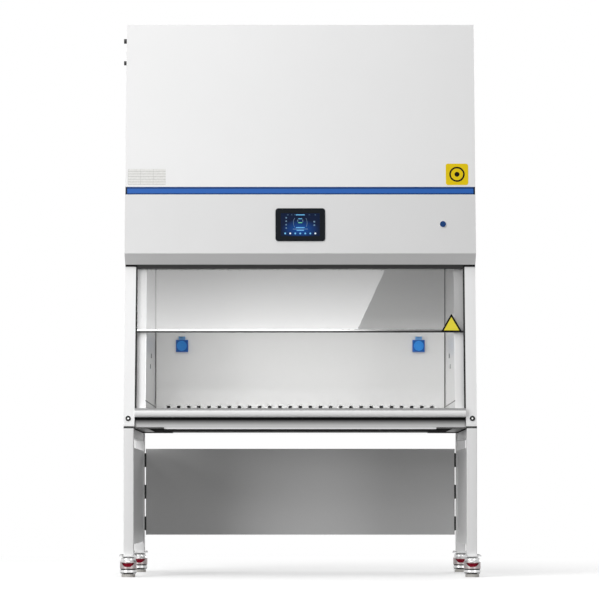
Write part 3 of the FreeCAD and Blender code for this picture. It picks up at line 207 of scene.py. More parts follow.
def powder_coat(name, colour, grain, depth, roughness):
    """Baked paint with a fine orange peel."""
    coat = Finish(name)
    peel = coat.noise(grain, 3.0)
    mottle = peel.between(0.3, 0.7) * 0.6 + coat.noise(CLOUD) * 0.4
    base = coat.blend(mottle, tinted(colour, 0.965), tinted(colour, 1.03))
    rough = coat.noise(60 * MM).between(roughness - 0.06, roughness + 0.06)
    return coat.complete(Base_Color=base, Roughness=rough, Normal=coat.bump(peel, depth))


def edged_paint(name, colour, foot):
    """Paint with a black joint along its lower edge, just above the height called foot."""
    joint_height = 4 * MM
    coat = Finish(name)
    _, _, z = coat.axes()
    peel = coat.noise(PEEL, 3.0)
    mottle = peel * 0.5 + coat.noise(CLOUD) * 0.5
    paint = coat.blend(mottle, tinted(colour, 0.965), tinted(colour, 1.03))
    base = coat.blend(z < foot + joint_height, paint, grey(0.008))
    rough = coat.noise(60 * MM).between(0.32, 0.44)
    return coat.complete(Base_Color=base, Roughness=rough, Specular_IOR_Level=0.4,
                         Normal=coat.bump(peel, FINE_RELIEF))


def strip_paint(name, low, high):
    """Blue paint on the strip, with painted shade along its rounded edges, and deep blue at its end caps."""
    blue = (0.026, 0.130, 0.480, 1)
    upper_shade_height, lower_shade_height, cap_width = 8 * MM, 6 * MM, 7 * MM
    coat = Finish(name)
    x, _, z = coat.axes()
    # Painted shade along the rounded upper and lower edges; the end caps are a deeper blue of their own.
    edge = (z > high.z - upper_shade_height).larger(z < low.z + lower_shade_height)
    cap = abs(x) > high.x - cap_width
    peel = coat.noise(PEEL, 3.0)
    face = coat.blend(peel, tinted(blue, 0.96), tinted(blue, 1.04))
    deep = coat.blend(cap, tinted(blue, 0.42), tinted(blue, 0.05))
    base = coat.blend(edge.larger(cap), face, deep)
    return coat.complete(Base_Color=base, Roughness=peel.between(0.36, 0.46), Specular_IOR_Level=0.12,
                         Normal=coat.bump(peel, FAINT_RELIEF))


def sheet_paint(name, half_width):
    """Paint of the stand's rear sheet: grey darker than the stand's white as painted shade, and black along
    each side.
    """
    dark_side_width = 8 * MM
    coat = Finish(name)
    x, _, _ = coat.axes()
    peel = coat.noise(STAND_PEEL, 3.0)
    # Painted shade: the stand's white paint darkened to grey, as the sheet lies in shadow under the cabinet.
    paint = coat.blend(peel, grey(0.64), grey(0.68))
    base = coat.blend(abs(x) > half_width - dark_side_width, paint, grey(0.01))
    return coat.complete(Base_Color=base, Roughness=peel.between(0.44, 0.56),
                         Normal=coat.bump(peel, 0.16 * MM))


def apron_paint(name, low, high):
    """Paint of the lower front panel: painted shade under the arm rest, a pale painted highlight and a black
    painted shade at its lower edge.
    """
    joint_depth, fade_height = 10 * MM, 22 * MM
    highlight_height, shade_edge_height = 9 * MM, 3.2 * MM
    coat = Finish(name)
    _, _, z = coat.axes()
    peel = coat.noise(PEEL, 3.0)
    # Painted shade: darkest just under the arm rest, fading out downwards over fade_height.
    below_joint = (high.z - joint_depth - z) / fade_height
    out_of_shade = 1 - (1 - below_joint).larger(0.0)
    paint = coat.blend(out_of_shade.larger(0.0) * peel.between(0.94, 1.0), grey(0.005), grey(0.68))
    # Painted highlight: a pale band just above the foot.
    lower_highlight = coat.blend(z < low.z + highlight_height, paint, grey(0.90))
    # Painted shade: a black band along the foot, where the underside lies in shadow.
    base = coat.blend(z < low.z + shade_edge_height, lower_highlight, grey(0.006))
    return coat.complete(Base_Color=base, Roughness=peel.between(0.38, 0.5), Specular_IOR_Level=0.12,
                         Normal=coat.bump(peel, FINE_RELIEF))


def rest_skin(name, low, high):
    """Skin of the arm rest, with painted shade as a grey band along its front upper edge."""
    shade_band_height, shade_band_depth = 10 * MM, 17 * MM
    skin = Finish(name)
    _, y, z = skin.axes()
    grain = skin.noise(1.2 * MM)
    white = skin.blend(grain, grey(0.93), grey(0.98))
    # Painted shade: the rounded upper edge, turned from the light, is painted grey.
    upper_shade = (z > high.z - shade_band_height) * (y < low.y + shade_band_depth)
    base = skin.blend(upper_shade, white, grey(0.34))
    return skin.complete(Base_Color=base, Roughness=grain.between(0.38, 0.48),
                         Normal=skin.bump(grain, FINE_RELIEF))


def caster_casting(name):
    """Cast drum: satin body, a painted highlight on its paler crown, painted shade in its groove, a bright
    band and painted shade on its lower lip.
    """
    crown_foot, groove_top, groove_foot, lip_top = 61 * MM, 34 * MM, 28.5 * MM, 18.5 * MM
    casting = Finish(name)
    _, _, z = casting.axes()
    flow = casting.noise(10 * MM, 4.0)
    body = casting.blend(flow, (0.36, 0.31, 0.31, 1), (0.50, 0.44, 0.44, 1))
    # Painted highlight: the crown is paler where light catches the shoulder.
    crown_highlight = casting.blend(z > crown_foot, body, grey(0.78))
    band = casting.blend(z < groove_foot, crown_highlight, grey(0.80))
    # Painted shade: black in the groove and on the lower lip.
    groove_shade = (z > groove_foot) * (z < groove_top)
    base = casting.blend(groove_shade.larger(z < lip_top), band, grey(0.02))
    return casting.complete(Base_Color=base, Metallic=0.6, Roughness=flow.between(0.24, 0.4),
                            Normal=casting.bump(casting.noise(1.6 * MM), 0.04 * MM))


def plate_zinc(name, shoe_height):
    """Zinc on the caster plates, and black on the shoes under the cabinet as painted shade."""
    zinc = Finish(name)
    _, _, z = zinc.axes()
    spangle = zinc.noise(6 * MM, 3.0)
    bright = zinc.blend(spangle, grey(0.62), grey(0.84))
    # Painted shade: the shoes under the cabinet are black.
    shoe_shade = z > shoe_height
    base = zinc.blend(shoe_shade, bright, grey(0.015))
    return zinc.complete(Base_Color=base, Metallic=(1 - shoe_shade) * 0.6, Roughness=spangle.between(0.3, 0.46))


def brushed_steel(name, colour, along, roughness=0.38, metallic=0.9, contrast=0.08):
    """Sheet steel with its brushing along one axis."""
    steel = Finish(name)
    stretch = [1, 1, 1]
    stretch["xyz".index(along)] = BRUSH_LENGTH
    hair = steel.noise(BRUSH_LINE, 4.0, stretch)
    smear = steel.noise(120 * MM)
    base = steel.blend(hair * 0.7 + smear * 0.3, tinted(colour, 1 - contrast), tinted(colour, 1 + contrast))
    rough = (hair * 0.5 + smear * 0.5).between(roughness - 0.08, roughness + 0.08)
    return steel.complete(Base_Color=base, Metallic=metallic, Roughness=rough,
                          Normal=steel.bump(hair, FAINT_RELIEF))


def moulded(name, colour, roughness, grain=1.2 * MM, depth=FINE_RELIEF, shine=0.5):
    """Moulded plastic or rubber with a fine spark-eroded grain; shine is how strongly it mirrors."""
    plastic = Finish(name)
    spots = plastic.noise(grain)
    base = plastic.blend(plastic.noise(50 * MM), tinted(colour, 0.93), tinted(colour, 1.05))
    rough = spots.between(roughness - 0.05, roughness + 0.05)
    return plastic.complete(Base_Color=base, Roughness=rough, Specular_IOR_Level=shine,
                            Normal=plastic.bump(spots, depth))


def cast_metal(name, colour, roughness, metallic):
    """Die-cast metal: slight flow marks under a satin skin."""
    metal = Finish(name)
    flow = metal.noise(12 * MM, 4.0)
    pits = metal.noise(1.6 * MM)
    base = metal.blend(flow, tinted(colour, 0.86), tinted(colour, 1.08))
    rough = flow.between(roughness - 0.08, roughness + 0.08)
    return metal.complete(Base_Color=base, Metallic=metallic, Roughness=rough,
                          Normal=metal.bump(pits, 0.05 * MM))


def chamber_lining(name, flange_x, seam_z):
    """Side walls: brushed steel with a seam above the tray, painted on the flange that faces the front; that
    paint is paler on the left as painted light.
    """
    half_seam = 2.5 * MM
    lining = Finish(name)
    x, _, z = lining.axes()
    painted = abs(x) > flange_x
    hair = lining.noise(BRUSH_LINE, 4.0, (1, 1, BRUSH_LENGTH))
    steel = lining.blend(hair, grey(0.72), grey(0.82))
    seam = (z > seam_z - half_seam) * (z < seam_z + half_seam)
    wall = lining.blend(seam, steel, grey(0.06))
    # Painted light: the flange paint is paler on the left, where the light falls, than on the right.
    paint = lining.blend(x < 0.0, grey(0.86), grey(0.98))
    bare = 1 - painted
    return lining.complete(Base_Color=lining.blend(painted, wall, paint), Metallic=bare * 0.7,
                           Roughness=bare * -0.08 + 0.45, Normal=lining.bump(hair, FAINT_RELIEF))


def sash_channel(name, lip_top):
    """Polished channel on the pane's lower edge, with a black lip under it."""
    channel = Finish(name)
    _, _, z = channel.axes()
    hair = channel.noise(BRUSH_LINE, 3.0, (BRUSH_LENGTH, 1, 1))
    bright = channel.blend(hair, grey(0.16), grey(0.19))
    base = channel.blend(z < lip_top, bright, grey(0.012))
    return channel.complete(Base_Color=base, Metallic=z > lip_top, Specular_IOR_Level=0.05,
                            Roughness=hair.between(0.1, 0.16))


def screw_head(name, centre, radius):
    """Dark recessed screw with a painted highlight as a bright spot in its middle."""
    highlight_share = 0.34
    screw = Finish(name)
    x, _, z = screw.axes()
    across = abs(x) - abs(centre.x)
    up = (z - centre.z) / UP_SLOPE.z
    reach = (across * across + up * up).root() / radius
    # Painted highlight: a bright metallic spot in the middle of the head.
    highlight_spot = reach < highlight_share
    scratches = screw.noise(0.6 * MM, 3.0)
    base = screw.blend(highlight_spot * scratches.between(0.8, 1.0), grey(0.012), grey(0.85))
    return screw.complete(Base_Color=base, Metallic=highlight_spot * 0.6, Roughness=scratches.between(0.5, 0.66),
                          Specular_IOR_Level=0.1)


def plugs_and_glands(name, wall_x, casing_x):
    """Black rubber outside the chamber, and pale plugs that match its steel walls."""
    rubber = Finish(name)
    x, _, _ = rubber.axes()
    reach = abs(x)
    inside = (reach > wall_x) * (reach < casing_x)
    grain = rubber.noise(2 * MM)
    dark = rubber.blend(grain, grey(0.014), grey(0.022))
    pale = rubber.blend(grain, grey(0.30), grey(0.36))
    return rubber.complete(Base_Color=rubber.blend(inside, dark, pale), Roughness=grain.between(0.5, 0.64),
                           Normal=rubber.bump(grain, 0.05 * MM))


def sash_pane(name):
    """Grey-tinted safety glass that lets lamps through."""
    tint_level, lamp_level = 0.72, 0.86
    pane = Finish(name)
    tint = pane.blend(pane.noise(150 * MM), grey(tint_level * 0.99), grey(tint_level * 1.01))
    glass = pane.shade(Base_Color=tint, Roughness=0.0, IOR=1.5, Transmission_Weight=1.0)
    clear = pane.node("ShaderNodeBsdfTransparent", {}, {"Color": grey(lamp_level)})
    return pane.done(pane.mix(pane.rays("Shadow", "Diffuse"), glass, clear))


def socket_blue(name, centre):
    """Blue plastic of the two sockets: a paler lid, deeper corners and a pale hinge block."""
    lid_radius, hinge_rise = 21 * MM, 25 * MM
    deep, bright, pale = (0.028, 0.170, 0.620, 1), (0.060, 0.380, 1.000, 1), (0.220, 0.500, 0.900, 1)
    blue = Finish(name)
    x, _, z = blue.axes()
    across = abs(x) - abs(centre.x)
    up = z - centre.z
    lid = (across * across + up * up).root() < lid_radius
    grain = blue.noise(1.2 * MM)
    face = blue.blend(lid * grain.between(0.9, 1.0), deep, bright)
    base = blue.blend(up > hinge_rise, face, pale)
    return blue.complete(Base_Color=base, Roughness=grain.between(0.34, 0.42), Specular_IOR_Level=0.2,
                         Normal=blue.bump(grain, FINE_RELIEF))


def screen_glow(name, centre):
    """The lit screen: navy at the edges, blue towards the lower middle."""
    half_width, half_height, drop = 75 * MM, 40 * MM, 18 * MM
    screen = Finish(name)
    x, _, z = screen.axes()
    across = (x - centre.x) / half_width
    up = (z - centre.z + drop) / half_height
    near = 1 - (across * across + up * up).root()
    colour = screen.blend(near.larger(0.0), (0.001, 0.010, 0.045, 1), (0.004, 0.090, 0.420, 1))
    rough = screen.noise(30 * MM).between(0.12, 0.18)
    return screen.complete(Base_Color=grey(0.002), Roughness=rough, Specular_IOR_Level=0.03,
                           Emission_Color=colour, Emission_Strength=0.8)


def lit(name, colour, strength):
    """A lit mark or lamp."""
    mark = Finish(name)
    colour = mark.blend(mark.noise(4 * MM), tinted(colour, 0.9), tinted(colour, 1.1))
    return mark.complete(Base_Color=grey(0.03), Roughness=0.3, Emission_Color=colour,
                         Emission_Strength=strength)


def ruled_foil(name, centre, width, height):
    """Bare rating foil: pale satin metal with blank ruled rows."""
    rows, columns = 6, 3
    rule_share, divider_share = 0.16, 0.02
    foil = Finish(name)
    x, _, z = foil.axes()
    row = ((z - (centre.z - height / 2)) / height * rows) % 1
    column = ((x - (centre.x - width / 2)) / width * columns) % 1
    rule = (row < rule_share).larger(column < divider_share)
    fleck = foil.noise(6 * MM, 3.0)
    base = foil.blend(rule * 0.5 + fleck * 0.4, (0.88, 0.88, 0.86, 1), (0.34, 0.33, 0.31, 1))
    return foil.complete(Base_Color=base, Roughness=fleck.between(0.44, 0.6), Specular_IOR_Level=0.3)


def filter_paper(name):
    """Pleated filter medium: a matt, faintly fibrous white, with painted shade in the valleys of its pleats.
    """
    pleat_pitch, pleat_depth = 4 * MM, 0.6 * MM
    paper = Finish(name)
    x, _, _ = paper.axes()
    pleat = abs((x / pleat_pitch) % 1 - 0.5) * 2
    fibre = paper.noise(2 * MM, 4.0)
    # Painted shade: darker in the pleats' valleys, paler on their ridges.
    base = paper.blend(pleat * 0.5 + fibre * 0.5, grey(0.62), grey(0.88))
    return paper.complete(Base_Color=base, Roughness=fibre.between(0.85, 0.95),
                          Normal=paper.bump(pleat, pleat_depth))


# ---- building pieces -----------------------------------------------------------------------------------


def middle(node):
    low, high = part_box(node)
    return (Vector(low) + Vector(high)) / 2


def low_corner(node):
    return Vector(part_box(node)[0])


def high_corner(node):
    return Vector(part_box(node)[1])


def on_face(node, x, z):
    """The point on a sloping front face, at a place across and a height."""
    low = low_corner(node)
    return Vector((x, low.y + (z - low.z) * LEAN, z))


def facing_out(point):
    """A frame on the slope: x across, y up the slope, z out towards the operator."""
    out = -INTO_SLOPE
    turn = Matrix((Vector((1, 0, 0)), UP_SLOPE, out)).transposed().to_4x4()
    return Matrix.Translation(point) @ turn


def rounded_outline(corners, radius, steps=6):
    """Outline of a polygon given in order, anticlockwise, with rounded corners."""
    points = []
    count = len(corners)
    for here in range(count):
        corner = Vector(corners[here])
        back = (Vector(corners[here - 1]) - corner).normalized()
        onward = (Vector(corners[(here + 1) % count]) - corner).normalized()
        half_angle = back.angle(onward) / 2
        reach = radius / math.tan(half_angle)
        centre = corner + (back + onward).normalized() * (radius / math.sin(half_angle))
        first = corner + back * reach - centre
        turn = math.pi - 2 * half_angle
        for step in range(steps + 1):
            spoke = Matrix.Rotation(turn * step / steps, 2) @ first
            points.append(centre + spoke)
    return points


def rectangle(width, height, x=0.0, y=0.0):
    return [(x - width / 2, y - height / 2), (x + width / 2, y - height / 2),
            (x + width / 2, y + height / 2), (x - width / 2, y + height / 2)]


def circle(radius, x=0.0, y=0.0, steps=36):
    turns = [math.tau * step / steps for step in range(steps)]
    return [Vector((x + radius * math.cos(turn), y + radius * math.sin(turn))) for turn in turns]


def add_slab(shape, outline, low, high, finish=0, chamfer=0.0):
    """Raise an outline into a closed slab between two heights, with its outer rim broken."""
    floor = shape.faces.new([shape.verts.new((*point, low)) for point in outline])
    sides = bmesh.ops.extrude_face_region(shape, geom=[floor])
    raised = [item for item in sides["geom"] if isinstance(item, bmesh.types.BMVert)]
    bmesh.ops.translate(shape, vec=(0, 0, high - low), verts=raised)
    cap = next(item for item in sides["geom"] if isinstance(item, bmesh.types.BMFace))
    faces = {face for vert in raised for face in vert.link_faces} | {floor}
    for face in faces:
        face.material_index = finish
    if chamfer:
        bmesh.ops.bevel(shape, geom=list(cap.edges), offset=chamfer, segments=2, affect="EDGES", profile=0.5,
                        material=finish)


def add_band(shape, outer, inner, low, high, finish=0):
    """A closed band between two outlines with the same number of points."""
    count = len(outer)
    loops = [[shape.verts.new((*point, height)) for point in line]
             for line, height in ((outer, low), (outer, high), (inner, high), (inner, low))]
    for groove_shade, following in zip(loops, loops[1:] + loops[:1]):
        for here in range(count):
            onward = (here + 1) % count
            face = shape.faces.new((groove_shade[here], groove_shade[onward], following[onward], following[here]))
            face.material_index = finish


def add_part(shape, part, place):
    """Add a part that was built in a frame of its own."""
    mesh = bpy.data.meshes.new("part")
    part.to_mesh(mesh)
    part.free()
    mesh.transform(place)
    shape.from_mesh(mesh)
    bpy.data.meshes.remove(mesh)


def piece(name, shape, place, body, *materials, smooth=False):
    """Turn a bmesh into a piece that rides on a body, with its place in its mesh."""
    bmesh.ops.recalc_face_normals(shape, faces=shape.faces)
    mesh = bpy.data.meshes.new(name)
    shape.to_mesh(mesh)
    shape.free()
    mesh.transform(place)
    thing = bpy.data.objects.new(name, mesh)
    bpy.context.collection.objects.link(thing)
    for material in materials:
        mesh.materials.append(material)
    if smooth:
        mesh.shade_smooth()
        mesh.set_sharp_from_angle(angle=math.radians(35))
    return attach(thing, body)


# ---- repeated fasteners, by geometry nodes -------------------------------------------------------------


class Recipe:
    """A geometry node tree with named inputs."""

    def __init__(self, name):
        self.tree = bpy.data.node_groups.new(name, "GeometryNodeTree")
        self.tree.interface.new_socket("Geometry", in_out="OUTPUT", socket_type="NodeSocketGeometry")
        self.inputs = self.tree.nodes.new("NodeGroupInput")
        self.identifiers = {}

    def input(self, name, kind, value):
        socket = self.tree.interface.new_socket(name, in_out="INPUT", socket_type=kind)
        socket.default_value = value
        self.identifiers[name] = socket.identifier
        return self.inputs.outputs[name]

    def feed(self, socket, value):
        """Give a socket its value, or link another socket to it."""
        if isinstance(value, bpy.types.NodeSocket):
            self.tree.links.new(value, socket)
        else:
            socket.default_value = value

    def node(self, kind, **links):
        """Add a node, and give its first output; words joined by _ are a socket's name."""
        made = self.tree.nodes.new(kind)
        for name, value in links.items():
            self.feed(made.inputs[name.replace("_", " ")], value)
        return made.outputs[0]

    def times(self, first, second):
        made = self.tree.nodes.new("ShaderNodeMath")
        made.operation = "MULTIPLY"
        self.feed(made.inputs[0], first)
        self.feed(made.inputs[1], second)
        return made.outputs[0]

    def raised(self, mesh, height):
        offset = self.node("ShaderNodeCombineXYZ", Z=height)
        return self.node("GeometryNodeTransform", Geometry=mesh, Translation=offset)

    def together(self, *parts):
        joined = self.tree.nodes.new("GeometryNodeJoinGeometry")
        for part in reversed(parts):
            self.tree.links.new(part, joined.inputs[0])
        return joined.outputs[0]

    def finish(self, geometry, material):
        real = self.node("GeometryNodeRealizeInstances", Geometry=geometry)
        dressed = self.node("GeometryNodeSetMaterial", Geometry=real, Material=material)
        output = self.tree.nodes.new("NodeGroupOutput")
        self.tree.links.new(dressed, output.inputs[0])
        return self


def bolt_grid(material):
    """Bolts with a washer each, at the crossings of a grid; they point along the local z axis."""
    washer_reach, washer_share = 1.25, 0.22
    body_share, crown_share, crown_reach = 0.8, 0.1, 0.8
    recipe = Recipe("bolt grid")
    head = recipe.input("Head radius", "NodeSocketFloat", 6.5 * MM)
    height = recipe.input("Head height", "NodeSocketFloat", 5.3 * MM)
    sides = recipe.input("Sides", "NodeSocketInt", 6)
    columns = recipe.input("Columns", "NodeSocketInt", 2)
    rows = recipe.input("Rows", "NodeSocketInt", 2)
    width = recipe.input("Width", "NodeSocketFloat", 50 * MM)
    depth = recipe.input("Depth", "NodeSocketFloat", 50 * MM)
    grid = recipe.node("GeometryNodeMeshGrid", Size_X=width, Size_Y=depth,
                       Vertices_X=columns, Vertices_Y=rows)
    thickness = recipe.times(height, washer_share)
    washer = recipe.node("GeometryNodeMeshCylinder", Vertices=24, Radius=recipe.times(head, washer_reach),
                         Depth=thickness)
    body = recipe.node("GeometryNodeMeshCylinder", Vertices=sides, Radius=head,
                       Depth=recipe.times(height, body_share))
    crown_highlight = recipe.node("GeometryNodeMeshCone", Vertices=sides, Radius_Bottom=head,
                        Radius_Top=recipe.times(head, crown_reach), Depth=recipe.times(height, crown_share))
    bolt = recipe.together(recipe.raised(washer, recipe.times(thickness, 0.5)),
                           recipe.raised(body, recipe.times(height, 0.5)),
                           recipe.raised(crown_highlight, recipe.times(height, 1 - crown_share)))
    placed = recipe.node("GeometryNodeInstanceOnPoints", Points=grid, Instance=bolt)
    return recipe.finish(placed, material)


def grown(recipe, values):
    """Run a recipe with its inputs set, and give the mesh that it makes."""
    seed = bpy.data.meshes.new("seed")
    holder = bpy.data.objects.new("seed", seed)
    bpy.context.collection.objects.link(holder)
    modifier = holder.modifiers.new("recipe", "NODES")
    modifier.node_group = recipe.tree
    for name, value in values.items():
        modifier[recipe.identifiers[name]] = value
    evaluated = holder.evaluated_get(bpy.context.evaluated_depsgraph_get())
    mesh = bpy.data.meshes.new_from_object(evaluated)
    bpy.data.objects.remove(holder)
    return mesh


def merged(name, meshes_and_places, body, material):
    """One piece out of several grown meshes, each with its place."""
    whole = bmesh.new()
    for mesh, place in meshes_and_places:
        mesh.transform(place)
        whole.from_mesh(mesh)
    return piece(name, whole, Matrix(), body, material)


# ---- paint and metal on the frame ----------------------------------------------------------------------


def dress_frame():
    """Give each CAD node its finish. The stand's frame isn't dressed, because a piece replaces it."""
    grille_gap, wall_depth, sheet_depth = 3 * MM, 20 * MM, 40 * MM
    seam_rise, channel_lip = 41 * MM, 6 * MM
    apron_box = low_corner("lower_front_panel"), high_corner("lower_front_panel")
    strip_box = low_corner("trim_strip"), high_corner("trim_strip")
    rest_box = low_corner("armrest"), high_corner("armrest")
    flange_x = high_corner("intake_grille").x + grille_gap
    wall_x = flange_x - wall_depth
    casing_x = high_corner("side_panel_right").x - sheet_depth
    seam_z = high_corner("work_tray").z + seam_rise
    lip_top = low_corner("sash_rails").z + channel_lip

    enamel = edged_paint("casing enamel", grey(0.92), low_corner("side_panel_left").z)
    cover_enamel = powder_coat("cover enamel", grey(0.83), PEEL, 0.04 * MM, 0.42)
    console_enamel = powder_coat("console enamel", grey(0.72), PEEL, 0.04 * MM, 0.42)
    side_enamel = powder_coat("stand side enamel", grey(0.90), STAND_PEEL, 0.12 * MM, 0.5)
    sheet_enamel = sheet_paint("stand sheet enamel", high_corner("stand_rear_panel").x)
    tray_steel = brushed_steel("tray steel", grey(0.74), "x")
    wall_steel = brushed_steel("wall steel", (0.64, 0.64, 0.634, 1), "z", roughness=0.46, contrast=0.03)
    duct_steel = brushed_steel("duct steel", grey(0.62), "z", roughness=0.45)
    ground_steel = brushed_steel("ground steel", grey(0.60), "x", roughness=0.24, metallic=1.0)
    guard_zinc = cast_metal("guard zinc", grey(0.45), 0.42, 0.85)
    motor_cast = cast_metal("motor casting", grey(0.36), 0.5, 0.7)
    fan_alloy = cast_metal("fan alloy", grey(0.66), 0.36, 0.9)
    # Painted shade: the base pan's underside is near-black, as it lies in shadow.
    pan_shade_black = moulded("pan underside", grey(0.003), 0.85, shine=0.02)
    black_rubber = moulded("black rubber", grey(0.016), 0.62, 2 * MM, 0.06 * MM, shine=0.25)
    # Sash guides in plain black.
    black_rail = moulded("black guide rail", grey(0.012), 0.5, shine=0.2)
    black_case = moulded("black case", (0.005, 0.007, 0.010, 1), 0.4, shine=0.06)
    grey_case = moulded("grey case", grey(0.36), 0.5)
    navy_cap = moulded("navy cap", (0.010, 0.052, 0.190, 1), 0.3, shine=0.08)
    white_ring = moulded("white ring", grey(0.80), 0.3)
    wheel_nylon = moulded("wheel nylon", grey(0.045), 0.48)
    dial_red = moulded("dial red", (0.27, 0.004, 0.020, 1), 0.34, shine=0.08)
    pad_grey = moulded("pad grey", (0.60, 0.58, 0.55, 1), 0.6)

    plan = {
        enamel: "side_panel_left side_panel_right rear_panel top_panel",
        cover_enamel: "front_cover",
        console_enamel: "control_panel",
        apron_paint("apron enamel", *apron_box): "lower_front_panel",
        side_enamel: "stand_side_panels",
        sheet_enamel: "stand_rear_panel",
        tray_steel: "work_tray intake_grille diffuser",
        pan_shade_black: "base_pan",
        wall_steel: "chamber_back",
        chamber_lining("chamber lining", flange_x, seam_z): "chamber_sides",
        plate_zinc("plate zinc", middle("stand_frame").z): "mounting_plates",
        guard_zinc: "exhaust_grille drive_frame",
        duct_steel: "plenum_shell",
        black_rail: "sash_guides",
        sash_channel("sash channel", lip_top): "sash_rails",
        rest_skin("arm rest skin", *rest_box): "armrest",
        black_rubber: "sash_seal drive_belts",
        plugs_and_glands("plugs and glands", wall_x, casing_x): "port_plugs",
        black_case: "display_bezel",
        post_screw_finish(): "post_screws",
        grey_case: "control_box",
        socket_finish(): "socket_bodies socket_lid_left socket_lid_right",
        strip_paint("blue strip paint", *strip_box): "trim_strip",
        navy_cap: "power_button",
        white_ring: "button_ring",
        motor_cast: "blower_motor gear_motor",
        fan_alloy: "impeller",
        ground_steel: "drive_shaft idler_shaft",
        lit("lamp glass", (1.0, 1.0, 1.0), 0.35): "lamp_fitting",
        filter_paper("filter paper"): "hepa_filters",
        sash_pane("tinted pane"): "sash_glass",
        screen_glow("lit screen", middle("display_screen")): "display_screen",
        caster_casting("caster casting"): each_caster("housing"),
        wheel_nylon: each_caster("wheel"),
        dial_red: each_caster("dial"),
        pad_grey: each_caster("pad"),
    }
    for material, names in plan.items():
        for name in names.split():
            dress(frame["nodes"][name], material)


def each_caster(part):
    return " ".join(f"caster_{part}_{end}_{side}" for end, side in CORNERS)


def post_screw_finish():
    """The two cover screws lie evenly about the middle, so one finish serves both."""
    low, high = low_corner("post_screws"), high_corner("post_screws")
    radius = (high.z - low.z) / 2
    centre = Vector((high.x - radius, 0, (high.z + low.z) / 2))
    return screw_head("screw head", centre, radius)


def socket_finish():
    """The two sockets lie evenly about the middle too, each with its lid in the centre of its flange."""
    half_flange = 25 * MM
    x = high_corner("socket_bodies").x - half_flange
    z = low_corner("socket_bodies").z + half_flange
    return socket_blue("blue plastic", Vector((x, 0, z)))


def dress(thing, material):
    thing.data.materials.clear()
    thing.data.materials.append(material)


# ---- plates and marks ----------------------------------------------------------------------------------


YELLOW, BLACK = 0, 1  # places of the two finishes on a warning plate


def make_caution_plate():
    """Rounded yellow plate on the upper cover, with a plain ring and dot."""
    from_side, from_foot = 73 * MM, 51 * MM
    plate_height, print_foot, print_height = 0.8 * MM, 0.7 * MM, 1.0 * MM
    yellow = moulded("plate yellow", (0.84, 0.61, 0.006, 1), 0.4, shine=0.08)
    black = moulded("plate black", grey(0.004), 0.5, shine=0.06)
    shape = bmesh.new()
    outline = rounded_outline(rectangle(90 * MM, 88 * MM), 9 * MM)
    add_slab(shape, outline, 0, plate_height, YELLOW, 0.3 * MM)
    add_band(shape, circle(31 * MM), circle(24.5 * MM), print_foot, print_height, BLACK)
    add_slab(shape, circle(10 * MM), print_foot, print_height, BLACK)
    x = high_corner("front_cover").x - from_side
    z = low_corner("front_cover").z + from_foot
    place = facing_out(on_face("front_cover", x, z))
    piece("caution_plate", shape, place, "cabinet", yellow, black)


def make_rating_plate():
    """Bare rating foil low on the left of the upper cover."""
    from_side, from_foot = 86 * MM, 41 * MM
    width, height = 151 * MM, 65 * MM
    cover = low_corner("front_cover")
    centre = on_face("front_cover", cover.x + from_side, cover.z + from_foot)
    foil = ruled_foil("rating foil", centre, width, height)
    shape = bmesh.new()
    add_slab(shape, rounded_outline(rectangle(width, height), 2 * MM), 0, 0.4 * MM, chamfer=0.1 * MM)
    piece("rating_plate", shape, facing_out(centre), "cabinet", foil)


def triangle_part(half, foot, tip, start, stop):
    """The part between two heights of a triangle that stands on foot and comes to a point at tip."""
    lower = half * (tip - start) / (tip - foot)
    upper = half * (tip - stop) / (tip - foot)
    return rounded_outline([(-lower, start), (lower, start), (upper, stop), (-upper, stop)], 0.4 * MM, 2)


def make_sash_marker():
    """Plain yellow triangle near the lower corner of the pane, folded over the edge channel."""
    from_side, fold = 58 * MM, 11 * MM
    half, tip, border = 43 * MM, 76 * MM, 7 * MM
    inner_half, inner_tip = half - 12 * MM, tip - 14 * MM
    black_foot, black_top = 0.05 * MM, 0.35 * MM
    yellow_foot, yellow_top = 0.3 * MM, 0.5 * MM
    yellow = moulded("marker yellow", (0.86, 0.74, 0.06, 1), 0.4, shine=0.08)
    black = moulded("marker black", grey(0.004), 0.5, shine=0.06)
    foot = low_corner("sash_rails").z + 1 * MM
    place = on_face("sash_glass", high_corner("sash_glass").x - from_side, foot)
    proud = (place.y - on_face("sash_rails", 0, foot).y) * UP_SLOPE.z
    shape = bmesh.new()
    for start, stop, rise in ((0, fold, proud), (fold, tip - 2 * MM, 0)):
        outline = triangle_part(half, 0, tip, start, stop)
        add_slab(shape, outline, rise + black_foot, rise + black_top, BLACK)
    for start, stop, rise in ((border, fold, proud), (fold, inner_tip - 1 * MM, 0)):
        outline = triangle_part(inner_half, border, inner_tip, start, stop)
        add_slab(shape, outline, rise + yellow_foot, rise + yellow_top, YELLOW)
    piece("sash_marker", shape, facing_out(place), "sash", yellow, black)


